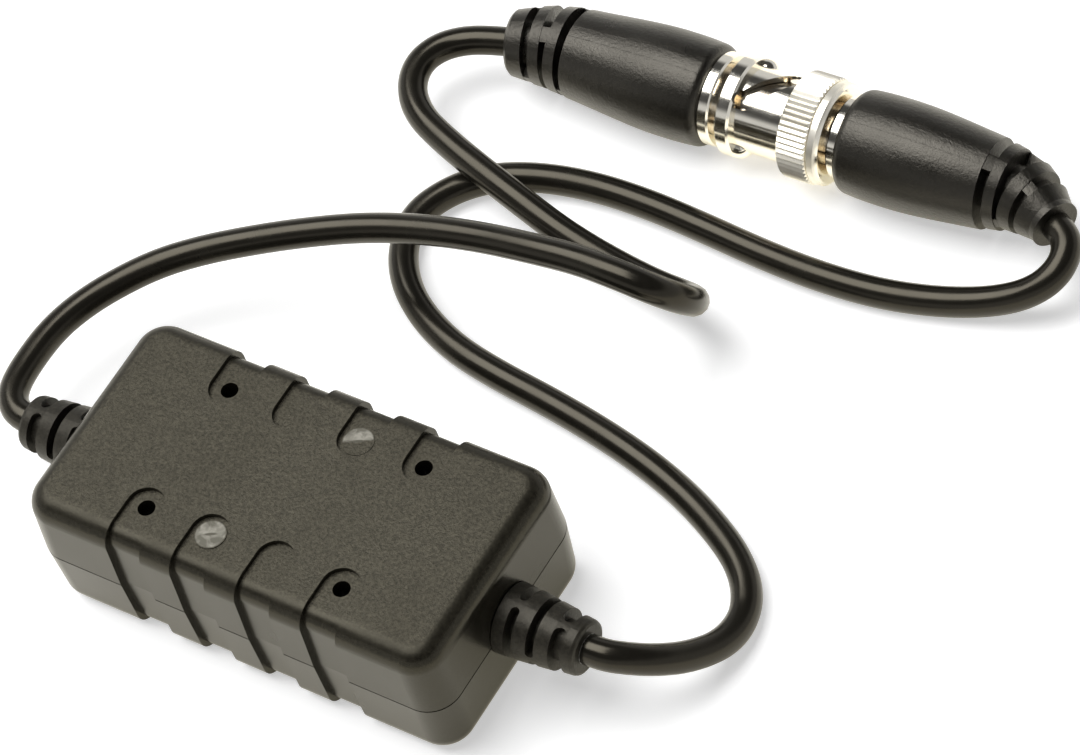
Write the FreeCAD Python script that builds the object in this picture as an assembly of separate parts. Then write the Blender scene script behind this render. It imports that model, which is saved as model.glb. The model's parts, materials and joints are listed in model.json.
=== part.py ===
import FreeCAD, Part
import math
import os

# A small in-line isolating transformer for composite video. A moulded box holds the transformer,
# and a coax lead leaves each end: one ends in a bayonet jack, the other in a bayonet plug that is
# mated with the jack. Millimetres, +Z up, box centred on X and Y, everything lying on z = 0.

# Housing
LENGTH = 62.0
WIDTH = 32.5
HEIGHT = 21.0
SEAM_Z = 10.5
TAPER = 0.4
CORNER_R = 4.2
EDGE_R = 3.0
WALL = 2.2
TONGUE = 0.7
TONGUE_H = 1.2
SEAM_V = 0.12
CUT_MARGIN = 1.0
RIM_SEARCH = 1e-4

# Finger channels and gate discs
CHANNEL_PITCH = 9.75
CHANNEL_COUNT = 4
CHANNEL_W = 5.2
CHANNEL_DEPTH = 0.7
CHANNEL_END_Y = 9.6
DISC_D = 4.2
DISC_H = 0.12

# Screws and their bosses
BOSS_D = 7.4
BOSS_TOP_D = 5.4
PILOT_D = 2.3
THREAD_GAP = 0.05
SHANK_D = 2.9
SHANK_GAP = 0.15
HEAD_D = 5.0
HEAD_H = 1.9
HEAD_GAP = 0.3
HEAD_SEAT_Z = 3.2
SCREW_GRIP = 8.0
RECESS_L = 2.8
RECESS_W = 0.6
RECESS_DEPTH = 1.0

# Circuit board
BOARD_END_GAP = 3.8
BOARD_SIDE_GAP = 1.05
BOARD_T = 1.6
BOARD_Z = 5.5
BOARD_CORNER = 1.0

# Transformer: a ferrite ring that stands flat, with a winding on each side
CORE_D = 17.0
CORE_BORE_D = 8.4
CORE_H = 6.0
CORE_R = 0.8
WINDING_T = 0.9
WINDING_GAP = 0.05
WINDING_ANGLE = 140.0
WINDING_R = 1.0

# Film capacitors beside the transformer
CAP_L = 5.0
CAP_W = 2.6
CAP_H = 5.6
CAP_X = 13.4
CAP_Y = 3.9
CAP_R = 0.4

# Strain reliefs on the box
RELIEF_L = 11.0
RELIEF_BASE_R = 4.7
RELIEF_BASE_END = 1.6
RELIEF_SLOTS = [1.2, 1.1, 1.7]
RELIEF_RING_L = 1.9
RELIEF_RING_RADII = [4.45, 4.15, 3.65]
RELIEF_SLOT_R = 2.7
RELIEF_NOSE = 0.5
RELIEF_STEP = 0.1
NOSE_EASE = 0.3
RELIEF_BRIDGE = 14.0
RELIEF_NECK_R = 3.7
RELIEF_NECK_GAP = 0.05
RELIEF_FLANGE_R = 4.8
RELIEF_FLANGE_T = 1.4
RELIEF_FLANGE_GAP = 0.26
MOULD_GAP = 0.02

# Leads
CORD_R = 2.0
BRAID_R = 1.5
DIELECTRIC_R = 1.0
CONDUCTOR_R = 0.35
STRIP_X = 25.6
BRAID_END_X = 24.4
DIELECTRIC_END_X = 22.6
SOLDER_X = 19.8
PIGTAIL_X = 23.2
PIGTAIL_Y = 3.6
PIGTAIL_R = 0.5
SOLDER_R = 0.95
SOLDER_TOP_R = 0.65
SOLDER_H = 0.8
CORE_LAP = 0.5
BRAID_LAP = 0.6
PIGTAIL_LEAD_X = 0.8
PIGTAIL_LEAD_Y = 0.4

# Where the mated pair lies: the front face of the jack's boot, and the turn of its axis
PAIR_X = 12.6
PAIR_Y = 81.7
PAIR_YAW = 2.1

# Boots, measured back from the front face along the middle line
BOOT_FRONT_R = 6.6
BOOT_MAX_R = 7.2
BOOT_MAX_AT = 6.5
BOOT_SHOULDER = 1.3
BOOT_SHOULDER_R = 7.0
BOOT_WAIST_R = 6.7
BOOT_WAIST_AT = 14.5
BOOT_TAIL_R = 6.1
BOOT_CORE_R = 3.4
TAIL_BRIDGE = 22.0
BRIDGE_BITE = 0.2
BRIDGE_DROP = 0.1
CORE_BITE = 2.0
NOSE_RIM = 0.4
TAIL_RUN = 6.5
BOOT_GAP = 0.05

# Tails: slot widths, rings as (length, front radius, rear radius), and the nose in the same way
JACK_BODY_L = 20.8
JACK_TAIL_SLOTS = [1.35, 1.35, 1.35]
JACK_TAIL_RINGS = [(1.6, 5.95, 5.75), (1.6, 5.55, 5.3)]
JACK_NOSE = (2.55, 4.95, 4.3)
JACK_BOOT_TURN = 12.4
JACK_BOOT_ROLL = 20.0
JACK_EXIT_RUN = 2.6
PLUG_BODY_L = 20.15
PLUG_TAIL_SLOTS = [1.3, 1.9, 1.4]
PLUG_TAIL_RINGS = [(1.4, 5.75, 5.5), (1.7, 5.05, 4.6)]
PLUG_NOSE = (3.1, 4.2, 3.0)
PLUG_BOOT_TURN = 28.7
PLUG_BOOT_ROLL = 8.0
PLUG_EXIT_RUN = 1.95

# Jack, measured along its axis from the front face of its boot
JACK_FLANGE_R = 6.3
JACK_FLANGE_L = 1.7
BARREL_R = 4.8
BARREL_BORE = 4.05
BARREL_END = 15.5
BARREL_FLOOR = 9.6
BARREL_CHAMFER = 0.3
JACK_TAIL_R = 4.4
JACK_TAIL_L = 3.0
LUG_D = 1.9
LUG_TIP_R = 5.45
LUG_AT = 11.0
LUG_ANGLE = 57.0
POST_R = 2.9
POST_BORE = 1.6
POST_L = 6.0
FERRULE_R = 3.6
FERRULE_BORE = 3.0
FERRULE_L = 10.0
FERRULE_GAP = 0.1
JACK_INSULATOR_R = 3.2
JACK_INSULATOR_END = 14.8
CONTACT_R = 1.1
CONTACT_BORE = 0.7
CONTACT_END = 14.5
CONTACT_BORE_L = 5.5
CONTACT_BACK = 0.8
FIT = 0.03
TURNED_CHAMFER = 0.25
LUG_BITE = 0.2
STRIP_GAP = 0.5

# Coupling nut
NUT_AT = 2.9
NUT_BORE = 4.9
LIP_R = 6.85
LIP_L = 2.1
SKIRT_R = 5.75
SKIRT_END = 12.2
KNURL_R = 7.2
KNURL_DEPTH = 0.28
KNURL_TEETH = 56
KNURL_END = 16.4
BAND_R = 6.95
BAND_CHAMFER = 0.5
NUT_END = 18.0
NUT_REAR_WALL = 0.8
NUT_CAVITY_R = 5.6
NUT_RUN_GAP = 0.08
SLOT_GAP = 0.3
SLOT_TURN = 60.0
SLOT_TRAVEL = 5.0
SLOT_STATIONS = 6
LIP_CHAMFER = 0.3
BUMP_BITE = 0.2
KNURL_ROOT = 0.6
SKIRT_LAP = 0.2
ENTRY_R = 5.75
BUMP_R = 1.9
BUMP_L = 1.4

# Plug
SLEEVE_R = 3.95
SLEEVE_BORE = 3.5
SLEEVE_TIP = 10.6
SLEEVE_EASE_R = 0.15
SLEEVE_EASE_L = 0.3
NECK_REACH = 1.0
GASKET_R = 4.7
GASKET_T = 0.6
GASKET_GAP = 0.05
FLANGE_R = 4.85
FLANGE_T = 0.45
NECK_R = 4.22
WASHER_R = 5.4
WASHER_T = 0.22
SPRING_R = 5.3
SPRING_T = 0.26
SPRING_OPEN_ANGLE = 40.0
STACK_GAP = 0.03
COLLAR_AT = 18.6
COLLAR_R = 5.6
COLLAR_L = 1.35
COLLAR_TAIL_R = 5.0
COLLAR_TAIL_L = 2.8
PLUG_INSULATOR_AT = 15.5
PLUG_INSULATOR_L = 4.0
PIN_R = 0.65
PIN_SHANK_R = 0.9
PIN_TIP = 11.5
PIN_SHANK_AT = 16.4
PIN_END = 20.3
PIN_POINT = [(0.0, 0.2), (0.2, 0.45), (0.6, 0.65)]

# Free points of the two leads, from the box to the boots
LEAD_A_POINTS = [
    (-44.0, 0.0, 10.5), (-45.8, 0.85, 10.5), (-47.1, 2.4, 10.5), (-47.9, 4.9, 10.4),
    (-48.2, 8.8, 10.3), (-48.1, 13.0, 10.2), (-47.1, 17.3, 10.1), (-45.0, 21.9, 10.1),
    (-41.1, 27.4, 10.4), (-36.1, 31.5, 11.0), (-29.6, 35.1, 12.2), (-22.7, 38.4, 13.4),
    (-15.4, 41.3, 14.6), (-7.5, 43.2, 15.9), (0.6, 44.3, 17.2), (8.6, 44.6, 18.6),
    (15.6, 44.9, 19.5), (21.7, 44.7, 19.8), (26.6, 45.3, 18.3), (28.8, 47.8, 14.1),
    (27.4, 51.1, 9.0), (23.7, 53.4, 5.1), (18.2, 54.3, 3.6), (12.6, 55.1, 3.2),
    (7.4, 55.7, 3.6), (2.2, 56.4, 4.5), (-4.6, 58.0, 5.5), (-11.8, 59.8, 6.4),
    (-18.2, 61.8, 6.7), (-23.4, 63.9, 6.9), (-26.8, 67.1, 7.0), (-28.1, 71.0, 7.2),
    (-27.0, 74.5, 7.2), (-24.2, 77.0, 7.2),
]
LEAD_B_POINTS = [
    (44.0, 0.0, 10.5), (46.3, 0.9, 9.9), (49.1, 3.1, 8.0), (51.6, 6.5, 5.4),
    (53.4, 10.9, 3.1), (53.5, 15.5, 2.0), (51.7, 19.6, 2.0), (48.2, 23.0, 2.0),
    (43.2, 25.9, 2.0), (37.2, 28.6, 2.0), (30.2, 30.8, 2.0), (22.4, 32.5, 2.0),
    (14.0, 33.8, 2.0), (5.8, 34.7, 2.0), (-1.6, 36.0, 2.0), (-8.0, 38.5, 2.0),
    (-13.2, 42.1, 2.0), (-16.8, 46.8, 2.0), (-18.2, 52.4, 2.0), (-15.9, 57.8, 2.0),
    (-11.4, 62.0, 2.0), (-5.0, 64.5, 2.0), (2.4, 65.8, 2.0), (10.4, 66.0, 2.0),
    (19.0, 65.5, 2.0), (27.8, 64.8, 2.0), (36.3, 64.6, 2.0), (44.7, 65.2, 2.0),
    (51.9, 66.8, 2.1), (57.9, 68.7, 2.7), (62.2, 70.5, 3.85), (64.84, 72.3, 5.15),
    (66.1, 74.23, 6.15), (66.38, 76.16, 6.75), (65.88, 78.04, 7.1),
]

V = FreeCAD.Vector
AXIS_X = V(1, 0, 0)
AXIS_Z = V(0, 0, 1)
PAIR = FreeCAD.Placement(V(PAIR_X, PAIR_Y, BOOT_MAX_R), FreeCAD.Rotation(AXIS_Z, PAIR_YAW))


# General helpers

def save(name, shape):
    """Write one node."""
    shape.exportStep("parts/" + name + ".step")
    print(name, "solids", len(shape.Solids), "volume %.1f" % shape.Volume, "valid", shape.isValid())


def rounded_wire(length, width, radius, z):
    """A rectangle with round corners, centred on the origin at height z."""
    hx = length / 2
    hy = width / 2
    edges = []
    for k in range(4):
        ux, uy = [(1, 1), (-1, 1), (-1, -1), (1, -1)][k]
        centre = V(ux * (hx - radius), uy * (hy - radius), z)
        start = 90.0 * k
        edges.append(Part.makeCircle(radius, centre, AXIS_Z, start, start + 90.0))
    closed = []
    for k in range(4):
        closed.append(edges[k])
        closed.append(Part.makeLine(edges[k].lastVertex().Point, edges[(k + 1) % 4].firstVertex().Point))
    return Part.Wire(closed)


def prism(length, width, radius, z0, z1):
    """An upright block with round corners."""
    return Part.Face(rounded_wire(length, width, radius, z0)).extrude(V(0, 0, z1 - z0))


def cylinder_z(x, y, radius, z0, z1):
    """An upright cylinder between two heights."""
    return Part.makeCylinder(radius, z1 - z0, V(x, y, z0), AXIS_Z)


def turned(profile):
    """Revolve a list of (x, r) points, closed on the X axis, about X."""
    points = [V(x, 0, r) for x, r in profile]
    closing = [V(profile[-1][0], 0, 0), V(profile[0][0], 0, 0), points[0]]
    face = Part.Face(Part.makePolygon(points + closing))
    return face.revolve(V(0, 0, 0), AXIS_X, 360)


def ring(x0, x1, inner, outer):
    """A tube about X."""
    solid = Part.makeCylinder(outer, x1 - x0, V(x0, 0, 0), AXIS_X)
    if inner > 0:
        solid = solid.cut(Part.makeCylinder(inner, x1 - x0, V(x0, 0, 0), AXIS_X))
    return solid


def sector(x0, x1, inner, outer, middle, span):
    """Part of a tube about X, with its middle at an angle from +Y towards +Z."""
    corners = [V(x0, inner, 0), V(x1, inner, 0), V(x1, outer, 0), V(x0, outer, 0), V(x0, inner, 0)]
    solid = Part.Face(Part.makePolygon(corners)).revolve(V(0, 0, 0), AXIS_X, span)
    solid.rotate(V(0, 0, 0), AXIS_X, middle - span / 2)
    return solid


def radial(x, angle, radius, r0, r1):
    """A cylinder that points out from the X axis."""
    out = V(0, math.cos(math.radians(angle)), math.sin(math.radians(angle)))
    return Part.makeCylinder(radius, r1 - r0, V(x, 0, 0) + out * r0, out)


def path_wire(points, report):
    """Straight runs joined by tangent arcs; the smallest radius is printed."""
    pts = [V(*p) for p in points]
    edges = []
    at = pts[0]
    radii = []
    for i in range(1, len(pts) - 1):
        back = pts[i - 1] - pts[i]
        ahead = pts[i + 1] - pts[i]
        reach = 0.45 * min(back.Length, ahead.Length)
        back.normalize()
        ahead.normalize()
        half = (math.pi - back.getAngle(ahead)) / 2
        radii.append(reach / math.tan(half))
        first = pts[i] + back * reach
        last = pts[i] + ahead * reach
        inward = (back + ahead).normalize()
        middle = pts[i] + inward * (radii[-1] / math.cos(half) - radii[-1])
        edges.append(Part.LineSegment(at, first).toShape())
        edges.append(Part.Arc(first, middle, last).toShape())
        at = last
    edges.append(Part.LineSegment(at, pts[-1]).toShape())
    wire = Part.Wire(edges)
    if report:
        print(report, "radii", " ".join("%.1f" % r for r in radii))
        print(report, "length %.1f, smallest radius %.1f" % (wire.Length, min(radii)))
    return wire


def tube(points, radius, report=""):
    """A round bar along a path, checked against its section times its length."""
    wire = path_wire(points, report)
    start = wire.Edges[0].firstVertex().Point
    ahead = wire.Edges[0].tangentAt(wire.Edges[0].FirstParameter)
    section = Part.Wire(Part.makeCircle(radius, start, ahead))
    solid = wire.makePipeShell([section], True, True)
    if report:
        expected = math.pi * radius * radius * wire.Length
        print(report, "volume %.1f, section times length %.1f" % (solid.Volume, expected))
    return solid


# Housing

def half(inset, side):
    """One drafted half of the box, offset inwards, with its outer edge rounded."""
    face_z = inset if side < 0 else HEIGHT - inset
    long = LENGTH - 2 * inset
    wide = WIDTH - 2 * inset
    seam = rounded_wire(long, wide, CORNER_R - inset, SEAM_Z)
    cap = rounded_wire(long - 2 * TAPER, wide - 2 * TAPER, CORNER_R - inset, face_z)
    solid = Part.makeLoft([seam, cap], True, True)
    rim = []
    for edge in solid.Edges:
        if abs(edge.BoundBox.ZMin - face_z) < RIM_SEARCH and edge.BoundBox.ZLength < RIM_SEARCH:
            rim.append(edge)
    return solid.makeFillet(EDGE_R - inset, rim)


def channel_x(k):
    """Where finger channel k lies along the box."""
    return (k - (CHANNEL_COUNT - 1) / 2) * CHANNEL_PITCH


def channel_plan():
    """The round-ended finger channels of both long sides, as upright prisms."""
    tools = []
    reach = WIDTH / 2 - CHANNEL_END_Y + CUT_MARGIN
    for k in range(CHANNEL_COUNT):
        for side in (-1, 1):
            x = channel_x(k)
            tools.append(cylinder_z(x, side * CHANNEL_END_Y, CHANNEL_W / 2, -1, HEIGHT + 1))
            low = CHANNEL_END_Y if side > 0 else -CHANNEL_END_Y - reach
            tools.append(Part.makeBox(CHANNEL_W, reach, HEIGHT + 2, V(x - CHANNEL_W / 2, low, -1)))
    return tools[0].multiFuse(tools[1:]).removeSplitter()


def boss_places():
    """The four screw positions, at the ends of the outer channels."""
    reach = channel_x(CHANNEL_COUNT - 1)
    return [(ux * reach, uy * CHANNEL_END_Y) for ux in (-1, 1) for uy in (-1, 1)]


def relief_bore():
    """The room that both reliefs' necks need through the walls."""
    opening = RELIEF_NECK_R + RELIEF_NECK_GAP
    return Part.makeCylinder(opening, LENGTH + 2, V(-LENGTH / 2 - 1, 0, SEAM_Z), AXIS_X)


def shell(side):
    """One half shell: wall, channels, and the round openings for the reliefs."""
    skin = channel_plan().cut(half(CHANNEL_DEPTH, side))
    return half(0, side).cut(skin).cut(half(WALL, side)).cut(relief_bore())


def seam_groove():
    """A fine V round the box where the halves meet."""
    out = prism(LENGTH + 2, WIDTH + 2, CORNER_R + 1, SEAM_Z - SEAM_V, SEAM_Z + SEAM_V)
    low = rounded_wire(LENGTH, WIDTH, CORNER_R, SEAM_Z - SEAM_V)
    mid = rounded_wire(LENGTH - 2 * SEAM_V, WIDTH - 2 * SEAM_V, CORNER_R - SEAM_V, SEAM_Z)
    high = rounded_wire(LENGTH, WIDTH, CORNER_R, SEAM_Z + SEAM_V)
    return out.cut(Part.makeLoft([low, mid, high], True, True))


def bottom_shell():
    """The lower half, with bosses that are counterbored for the screws."""
    solid = shell(-1)
    gap = WALL - TONGUE - FIT
    lip = prism(LENGTH - 2 * gap, WIDTH - 2 * gap, CORNER_R - gap, SEAM_Z - TONGUE_H - FIT, SEAM_Z + 1)
    solid = solid.cut(lip)
    bosses = [cylinder_z(x, y, BOSS_D / 2, WALL / 2, BOARD_Z) for x, y in boss_places()]
    solid = solid.multiFuse(bosses)
    for x, y in boss_places():
        solid = solid.cut(cylinder_z(x, y, HEAD_D / 2 + HEAD_GAP, -1, HEAD_SEAT_Z))
        solid = solid.cut(cylinder_z(x, y, SHANK_D / 2 + SHANK_GAP, 0, BOARD_Z + 1))
    return solid.cut(seam_groove())


def top_shell():
    """The upper half, with pilot bosses, the tongue and the two gate discs."""
    solid = shell(1)
    low = SEAM_Z - TONGUE_H
    out = WALL - TONGUE
    tongue = prism(LENGTH - 2 * out, WIDTH - 2 * out, CORNER_R - out, low, SEAM_Z)
    hollow = prism(LENGTH - 2 * WALL, WIDTH - 2 * WALL, CORNER_R - WALL, low, SEAM_Z)
    tongue = tongue.cut(hollow).cut(relief_bore())
    board_top = BOARD_Z + BOARD_T
    bosses = [cylinder_z(x, y, BOSS_TOP_D / 2, board_top, HEIGHT - WALL / 2) for x, y in boss_places()]
    floor = HEIGHT - CHANNEL_DEPTH
    discs = []
    for k, side in ((1, -1), (2, 1)):
        y = side * CHANNEL_END_Y
        discs.append(cylinder_z(channel_x(k), y, DISC_D / 2, floor - DISC_H, floor + DISC_H))
    solid = solid.multiFuse([tongue] + bosses + discs)
    for x, y in boss_places():
        solid = solid.cut(cylinder_z(x, y, PILOT_D / 2, board_top - 1, HEIGHT + 1))
    return solid.cut(seam_groove())


def screws():
    """Four self-tapping screws, driven from below."""
    solids = []
    board_top = BOARD_Z + BOARD_T
    tip = board_top + SCREW_GRIP
    for x, y in boss_places():
        head = cylinder_z(x, y, HEAD_D / 2, HEAD_SEAT_Z - HEAD_H, HEAD_SEAT_Z)
        shank = cylinder_z(x, y, SHANK_D / 2, HEAD_SEAT_Z, board_top - THREAD_GAP)
        core_r = PILOT_D / 2 - THREAD_GAP
        core = cylinder_z(x, y, core_r, board_top - THREAD_GAP, tip - core_r)
        point = Part.makeCone(core_r, core_r / 3, core_r, V(x, y, tip - core_r), AXIS_Z)
        screw = head.multiFuse([shank, core, point])
        foot = HEAD_SEAT_Z - HEAD_H
        for long, wide in ((RECESS_L, RECESS_W), (RECESS_W, RECESS_L)):
            corner = V(x - long / 2, y - wide / 2, foot)
            screw = screw.cut(Part.makeBox(long, wide, RECESS_DEPTH, corner))
        solids.append(screw.removeSplitter())
    return Part.makeCompound(solids)


# Board and transformer

def board():
    """The circuit board, clamped between the bosses by the screws."""
    long = LENGTH - 2 * (WALL + BOARD_END_GAP)
    wide = WIDTH - 2 * (WALL + BOARD_SIDE_GAP)
    solid = prism(long, wide, BOARD_CORNER, BOARD_Z, BOARD_Z + BOARD_T)
    for x, y in boss_places():
        solid = solid.cut(cylinder_z(x, y, SHANK_D / 2 + SHANK_GAP, BOARD_Z - 1, BOARD_Z + BOARD_T + 1))
    return solid


def hoop(r0, r1, z0, z1, corner, start, span):
    """A ring, or part of one, about Z with a rounded section."""
    section = rounded_wire(r1 - r0, z1 - z0, corner, 0)
    section.rotate(V(0, 0, 0), AXIS_X, 90)
    section.translate(V((r0 + r1) / 2, 0, (z0 + z1) / 2))
    solid = Part.Face(section).revolve(V(0, 0, 0), AXIS_Z, span)
    solid.rotate(V(0, 0, 0), AXIS_Z, start)
    return solid


def core_base():
    """The height of the ring core's underside."""
    return BOARD_Z + BOARD_T + WINDING_T + WINDING_GAP


def transformer_core():
    """The ferrite ring."""
    low = core_base()
    return hoop(CORE_BORE_D / 2, CORE_D / 2, low, low + CORE_H, CORE_R, 0, 360)


def winding(middle):
    """One winding, as the sleeve that its turns fill round the core."""
    low = core_base()
    gap = WINDING_GAP
    thick = WINDING_T + gap
    start = middle - WINDING_ANGLE / 2
    outer = hoop(CORE_BORE_D / 2 - thick, CORE_D / 2 + thick, low - thick, low + CORE_H + thick,
                 WINDING_R, start, WINDING_ANGLE)
    inner = hoop(CORE_BORE_D / 2 - gap, CORE_D / 2 + gap, low - gap, low + CORE_H + gap,
                 CORE_R - gap, start - 1, WINDING_ANGLE + 2)
    return outer.cut(inner)


def capacitors():
    """Two boxed film capacitors that stand on the board."""
    solids = []
    z = BOARD_Z + BOARD_T
    for ux in (-1, 1):
        body = prism(CAP_L, CAP_W, CAP_R, z, z + CAP_H)
        body.translate(V(ux * CAP_X, ux * CAP_Y, 0))
        solids.append(body)
    return Part.makeCompound(solids)


# Strain reliefs and the inner ends of the leads

def relief_rings():
    """Slot and ring positions along the relief, from the wall outwards."""
    at = RELIEF_BASE_END
    rows = []
    for slot, radius in zip(RELIEF_SLOTS, RELIEF_RING_RADII):
        rows.append((at, at + slot, radius))
        at = at + slot + RELIEF_RING_L
    return rows


def relief():
    """A slotted relief on the +X end, about the X axis."""
    wall = LENGTH / 2
    inner = wall - WALL
    flange = inner - RELIEF_FLANGE_GAP
    profile = [(flange - RELIEF_FLANGE_T, RELIEF_FLANGE_R), (flange, RELIEF_FLANGE_R)]
    profile += [(flange, RELIEF_NECK_R), (wall + MOULD_GAP, RELIEF_NECK_R)]
    profile += [(wall + MOULD_GAP, RELIEF_BASE_R)]
    before = RELIEF_BASE_R
    for start, end, radius in relief_rings():
        profile += [(wall + start, before - RELIEF_STEP), (wall + end, radius + RELIEF_STEP)]
        before = radius
    nose = RELIEF_NOSE
    ease = NOSE_EASE * nose
    profile += [(wall + RELIEF_L - nose, before), (wall + RELIEF_L - ease, before - ease)]
    profile += [(wall + RELIEF_L, before - nose)]
    solid = turned(profile)
    for level, (start, end, radius) in enumerate(relief_rings()):
        turn = 0 if level % 2 == 0 else 90
        slot = end - start
        span = 180 - RELIEF_BRIDGE - math.degrees(slot / radius)
        for middle in (turn, turn + 180):
            cutter = sector(wall + start, wall + end, RELIEF_SLOT_R, RELIEF_BASE_R + 1, middle, span)
            at = wall + (start + end) / 2
            for end_angle in (middle - span / 2, middle + span / 2):
                cutter = cutter.fuse(radial(at, end_angle, slot / 2, RELIEF_SLOT_R, RELIEF_BASE_R + 1))
            solid = solid.cut(cutter)
    bore = CORD_R + MOULD_GAP
    return solid.cut(Part.makeCylinder(bore, WALL + RELIEF_L + 10, V(inner - 5, 0, 0), AXIS_X))


def lead_end():
    """The stripped inner end of a lead, soldered to the board, on the +X side at z = 0."""
    wall = LENGTH / 2
    steps = [(wall + RELIEF_L, CORD_R), (STRIP_X, CORD_R), (STRIP_X, BRAID_R), (BRAID_END_X, BRAID_R)]
    steps += [(BRAID_END_X, DIELECTRIC_R), (DIELECTRIC_END_X, DIELECTRIC_R)]
    solid = turned(steps[::-1])
    drop = BOARD_Z + BOARD_T - SEAM_Z
    bend = (SOLDER_X + CORE_LAP, 0, 0)
    route = [(DIELECTRIC_END_X + CORE_LAP, 0, 0), bend, (SOLDER_X, 0, drop / 3), (SOLDER_X, 0, drop)]
    core = tube(route, CONDUCTOR_R)
    gathered = (BRAID_END_X + BRAID_LAP, BRAID_R - PIGTAIL_R, 0)
    spread = (PIGTAIL_X + PIGTAIL_LEAD_X, PIGTAIL_Y - PIGTAIL_LEAD_Y, drop / 3)
    down = [(PIGTAIL_X, PIGTAIL_Y, 0.6 * drop), (PIGTAIL_X, PIGTAIL_Y, drop)]
    shield = tube([gathered, spread] + down, PIGTAIL_R)
    cones = []
    for x, y in ((SOLDER_X, 0), (PIGTAIL_X, PIGTAIL_Y)):
        cones.append(Part.makeCone(SOLDER_R, SOLDER_TOP_R, SOLDER_H, V(x, y, drop), AXIS_Z))
    return solid.multiFuse([core, shield] + cones)


def place_on_box(shape, end):
    """Lift a piece made about X to the leads' height, and turn it to one end of the box."""
    placed = shape.copy()
    if end < 0:
        placed.rotate(V(0, 0, 0), AXIS_Z, 180)
    placed.translate(V(0, 0, SEAM_Z))
    return placed


# Boots

def boot_route(length, turn):
    """The boot's middle line: straight, then the tail that turns in the XY plane."""
    angle = math.radians(turn)
    reach = 0.45 * TAIL_RUN
    radius = reach / math.tan(abs(angle) / 2)
    corner = length - TAIL_RUN + (2 * reach - radius * abs(angle))
    end = V(corner + TAIL_RUN * math.cos(angle), TAIL_RUN * math.sin(angle), 0)
    return corner, radius, reach, angle, end


def tail_frame(length, turn, back):
    """Placement on the middle line at a distance back from the rear end, X along the line."""
    corner, radius, reach, angle, end = boot_route(length, turn)
    straight = TAIL_RUN - reach
    bent = radius * abs(angle)
    if back <= straight:
        direction = angle
        point = end - V(math.cos(angle), math.sin(angle), 0) * back
    elif back <= straight + bent:
        share = (back - straight) / bent
        direction = angle * (1 - share)
        sign = 1 if angle > 0 else -1
        start = V(corner - reach, 0, 0)
        centre = start + V(0, sign * radius, 0)
        point = centre + V(math.sin(abs(direction)), -sign * math.cos(direction), 0) * radius
    else:
        direction = 0
        point = V(length - back, 0, 0)
    return FreeCAD.Placement(point, FreeCAD.Rotation(AXIS_Z, math.degrees(direction)))


def tail_rows(slots, rings, nose):
    """Kind, near and far distance from the rear end, and front and rear radius of each level."""
    rows = [("nose", 0, nose[0], nose[1], nose[2])]
    at = nose[0]
    behind = nose[1]
    for slot, ring_row in zip(reversed(slots), list(reversed(rings)) + [(0, BOOT_TAIL_R, BOOT_TAIL_R)]):
        rows.append(("slot", at, at + slot, ring_row[2], behind))
        at = at + slot
        rows.append(("ring", at, at + ring_row[0], ring_row[1], ring_row[2]))
        at = at + ring_row[0]
        behind = ring_row[1]
    rows[-1] = ("body",) + rows[-1][1:]
    return rows


def land_outline(frame, x, outer, angle):
    """The section of a land, in the frame of the ring that it grows from."""
    inner = BOOT_CORE_R - BRIDGE_BITE
    spots = []
    for radius, share in ((inner, -1), (inner, 1), (outer, 1), (outer, 0), (outer, -1)):
        bearing = math.radians(angle + share * TAIL_BRIDGE / 2)
        spots.append(frame.multVec(V(x, radius * math.cos(bearing), radius * math.sin(bearing))))
    edges = [Part.makeLine(spots[0], spots[1]), Part.makeLine(spots[1], spots[2])]
    edges += [Part.Arc(spots[2], spots[3], spots[4]).toShape(), Part.makeLine(spots[4], spots[0])]
    return Part.Wire(edges)


def lands(length, turn, ahead, behind, angle):
    """Two lands across a slot, flush with what is on both sides of it."""
    front = tail_frame(length, turn, (ahead[1] + ahead[2]) / 2)
    front_x = (ahead[2] - ahead[1]) / 2 - BRIDGE_BITE
    rear = tail_frame(length, turn, (behind[1] + behind[2]) / 2)
    rear_x = BRIDGE_BITE - (behind[2] - behind[1]) / 2
    pair = []
    for flip in (0, 180):
        first = land_outline(front, front_x, ahead[4] - BRIDGE_DROP, angle + flip)
        last = land_outline(rear, rear_x, behind[3] - BRIDGE_DROP, angle + flip)
        pair.append(Part.makeLoft([first, last], True, True))
    return pair


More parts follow.
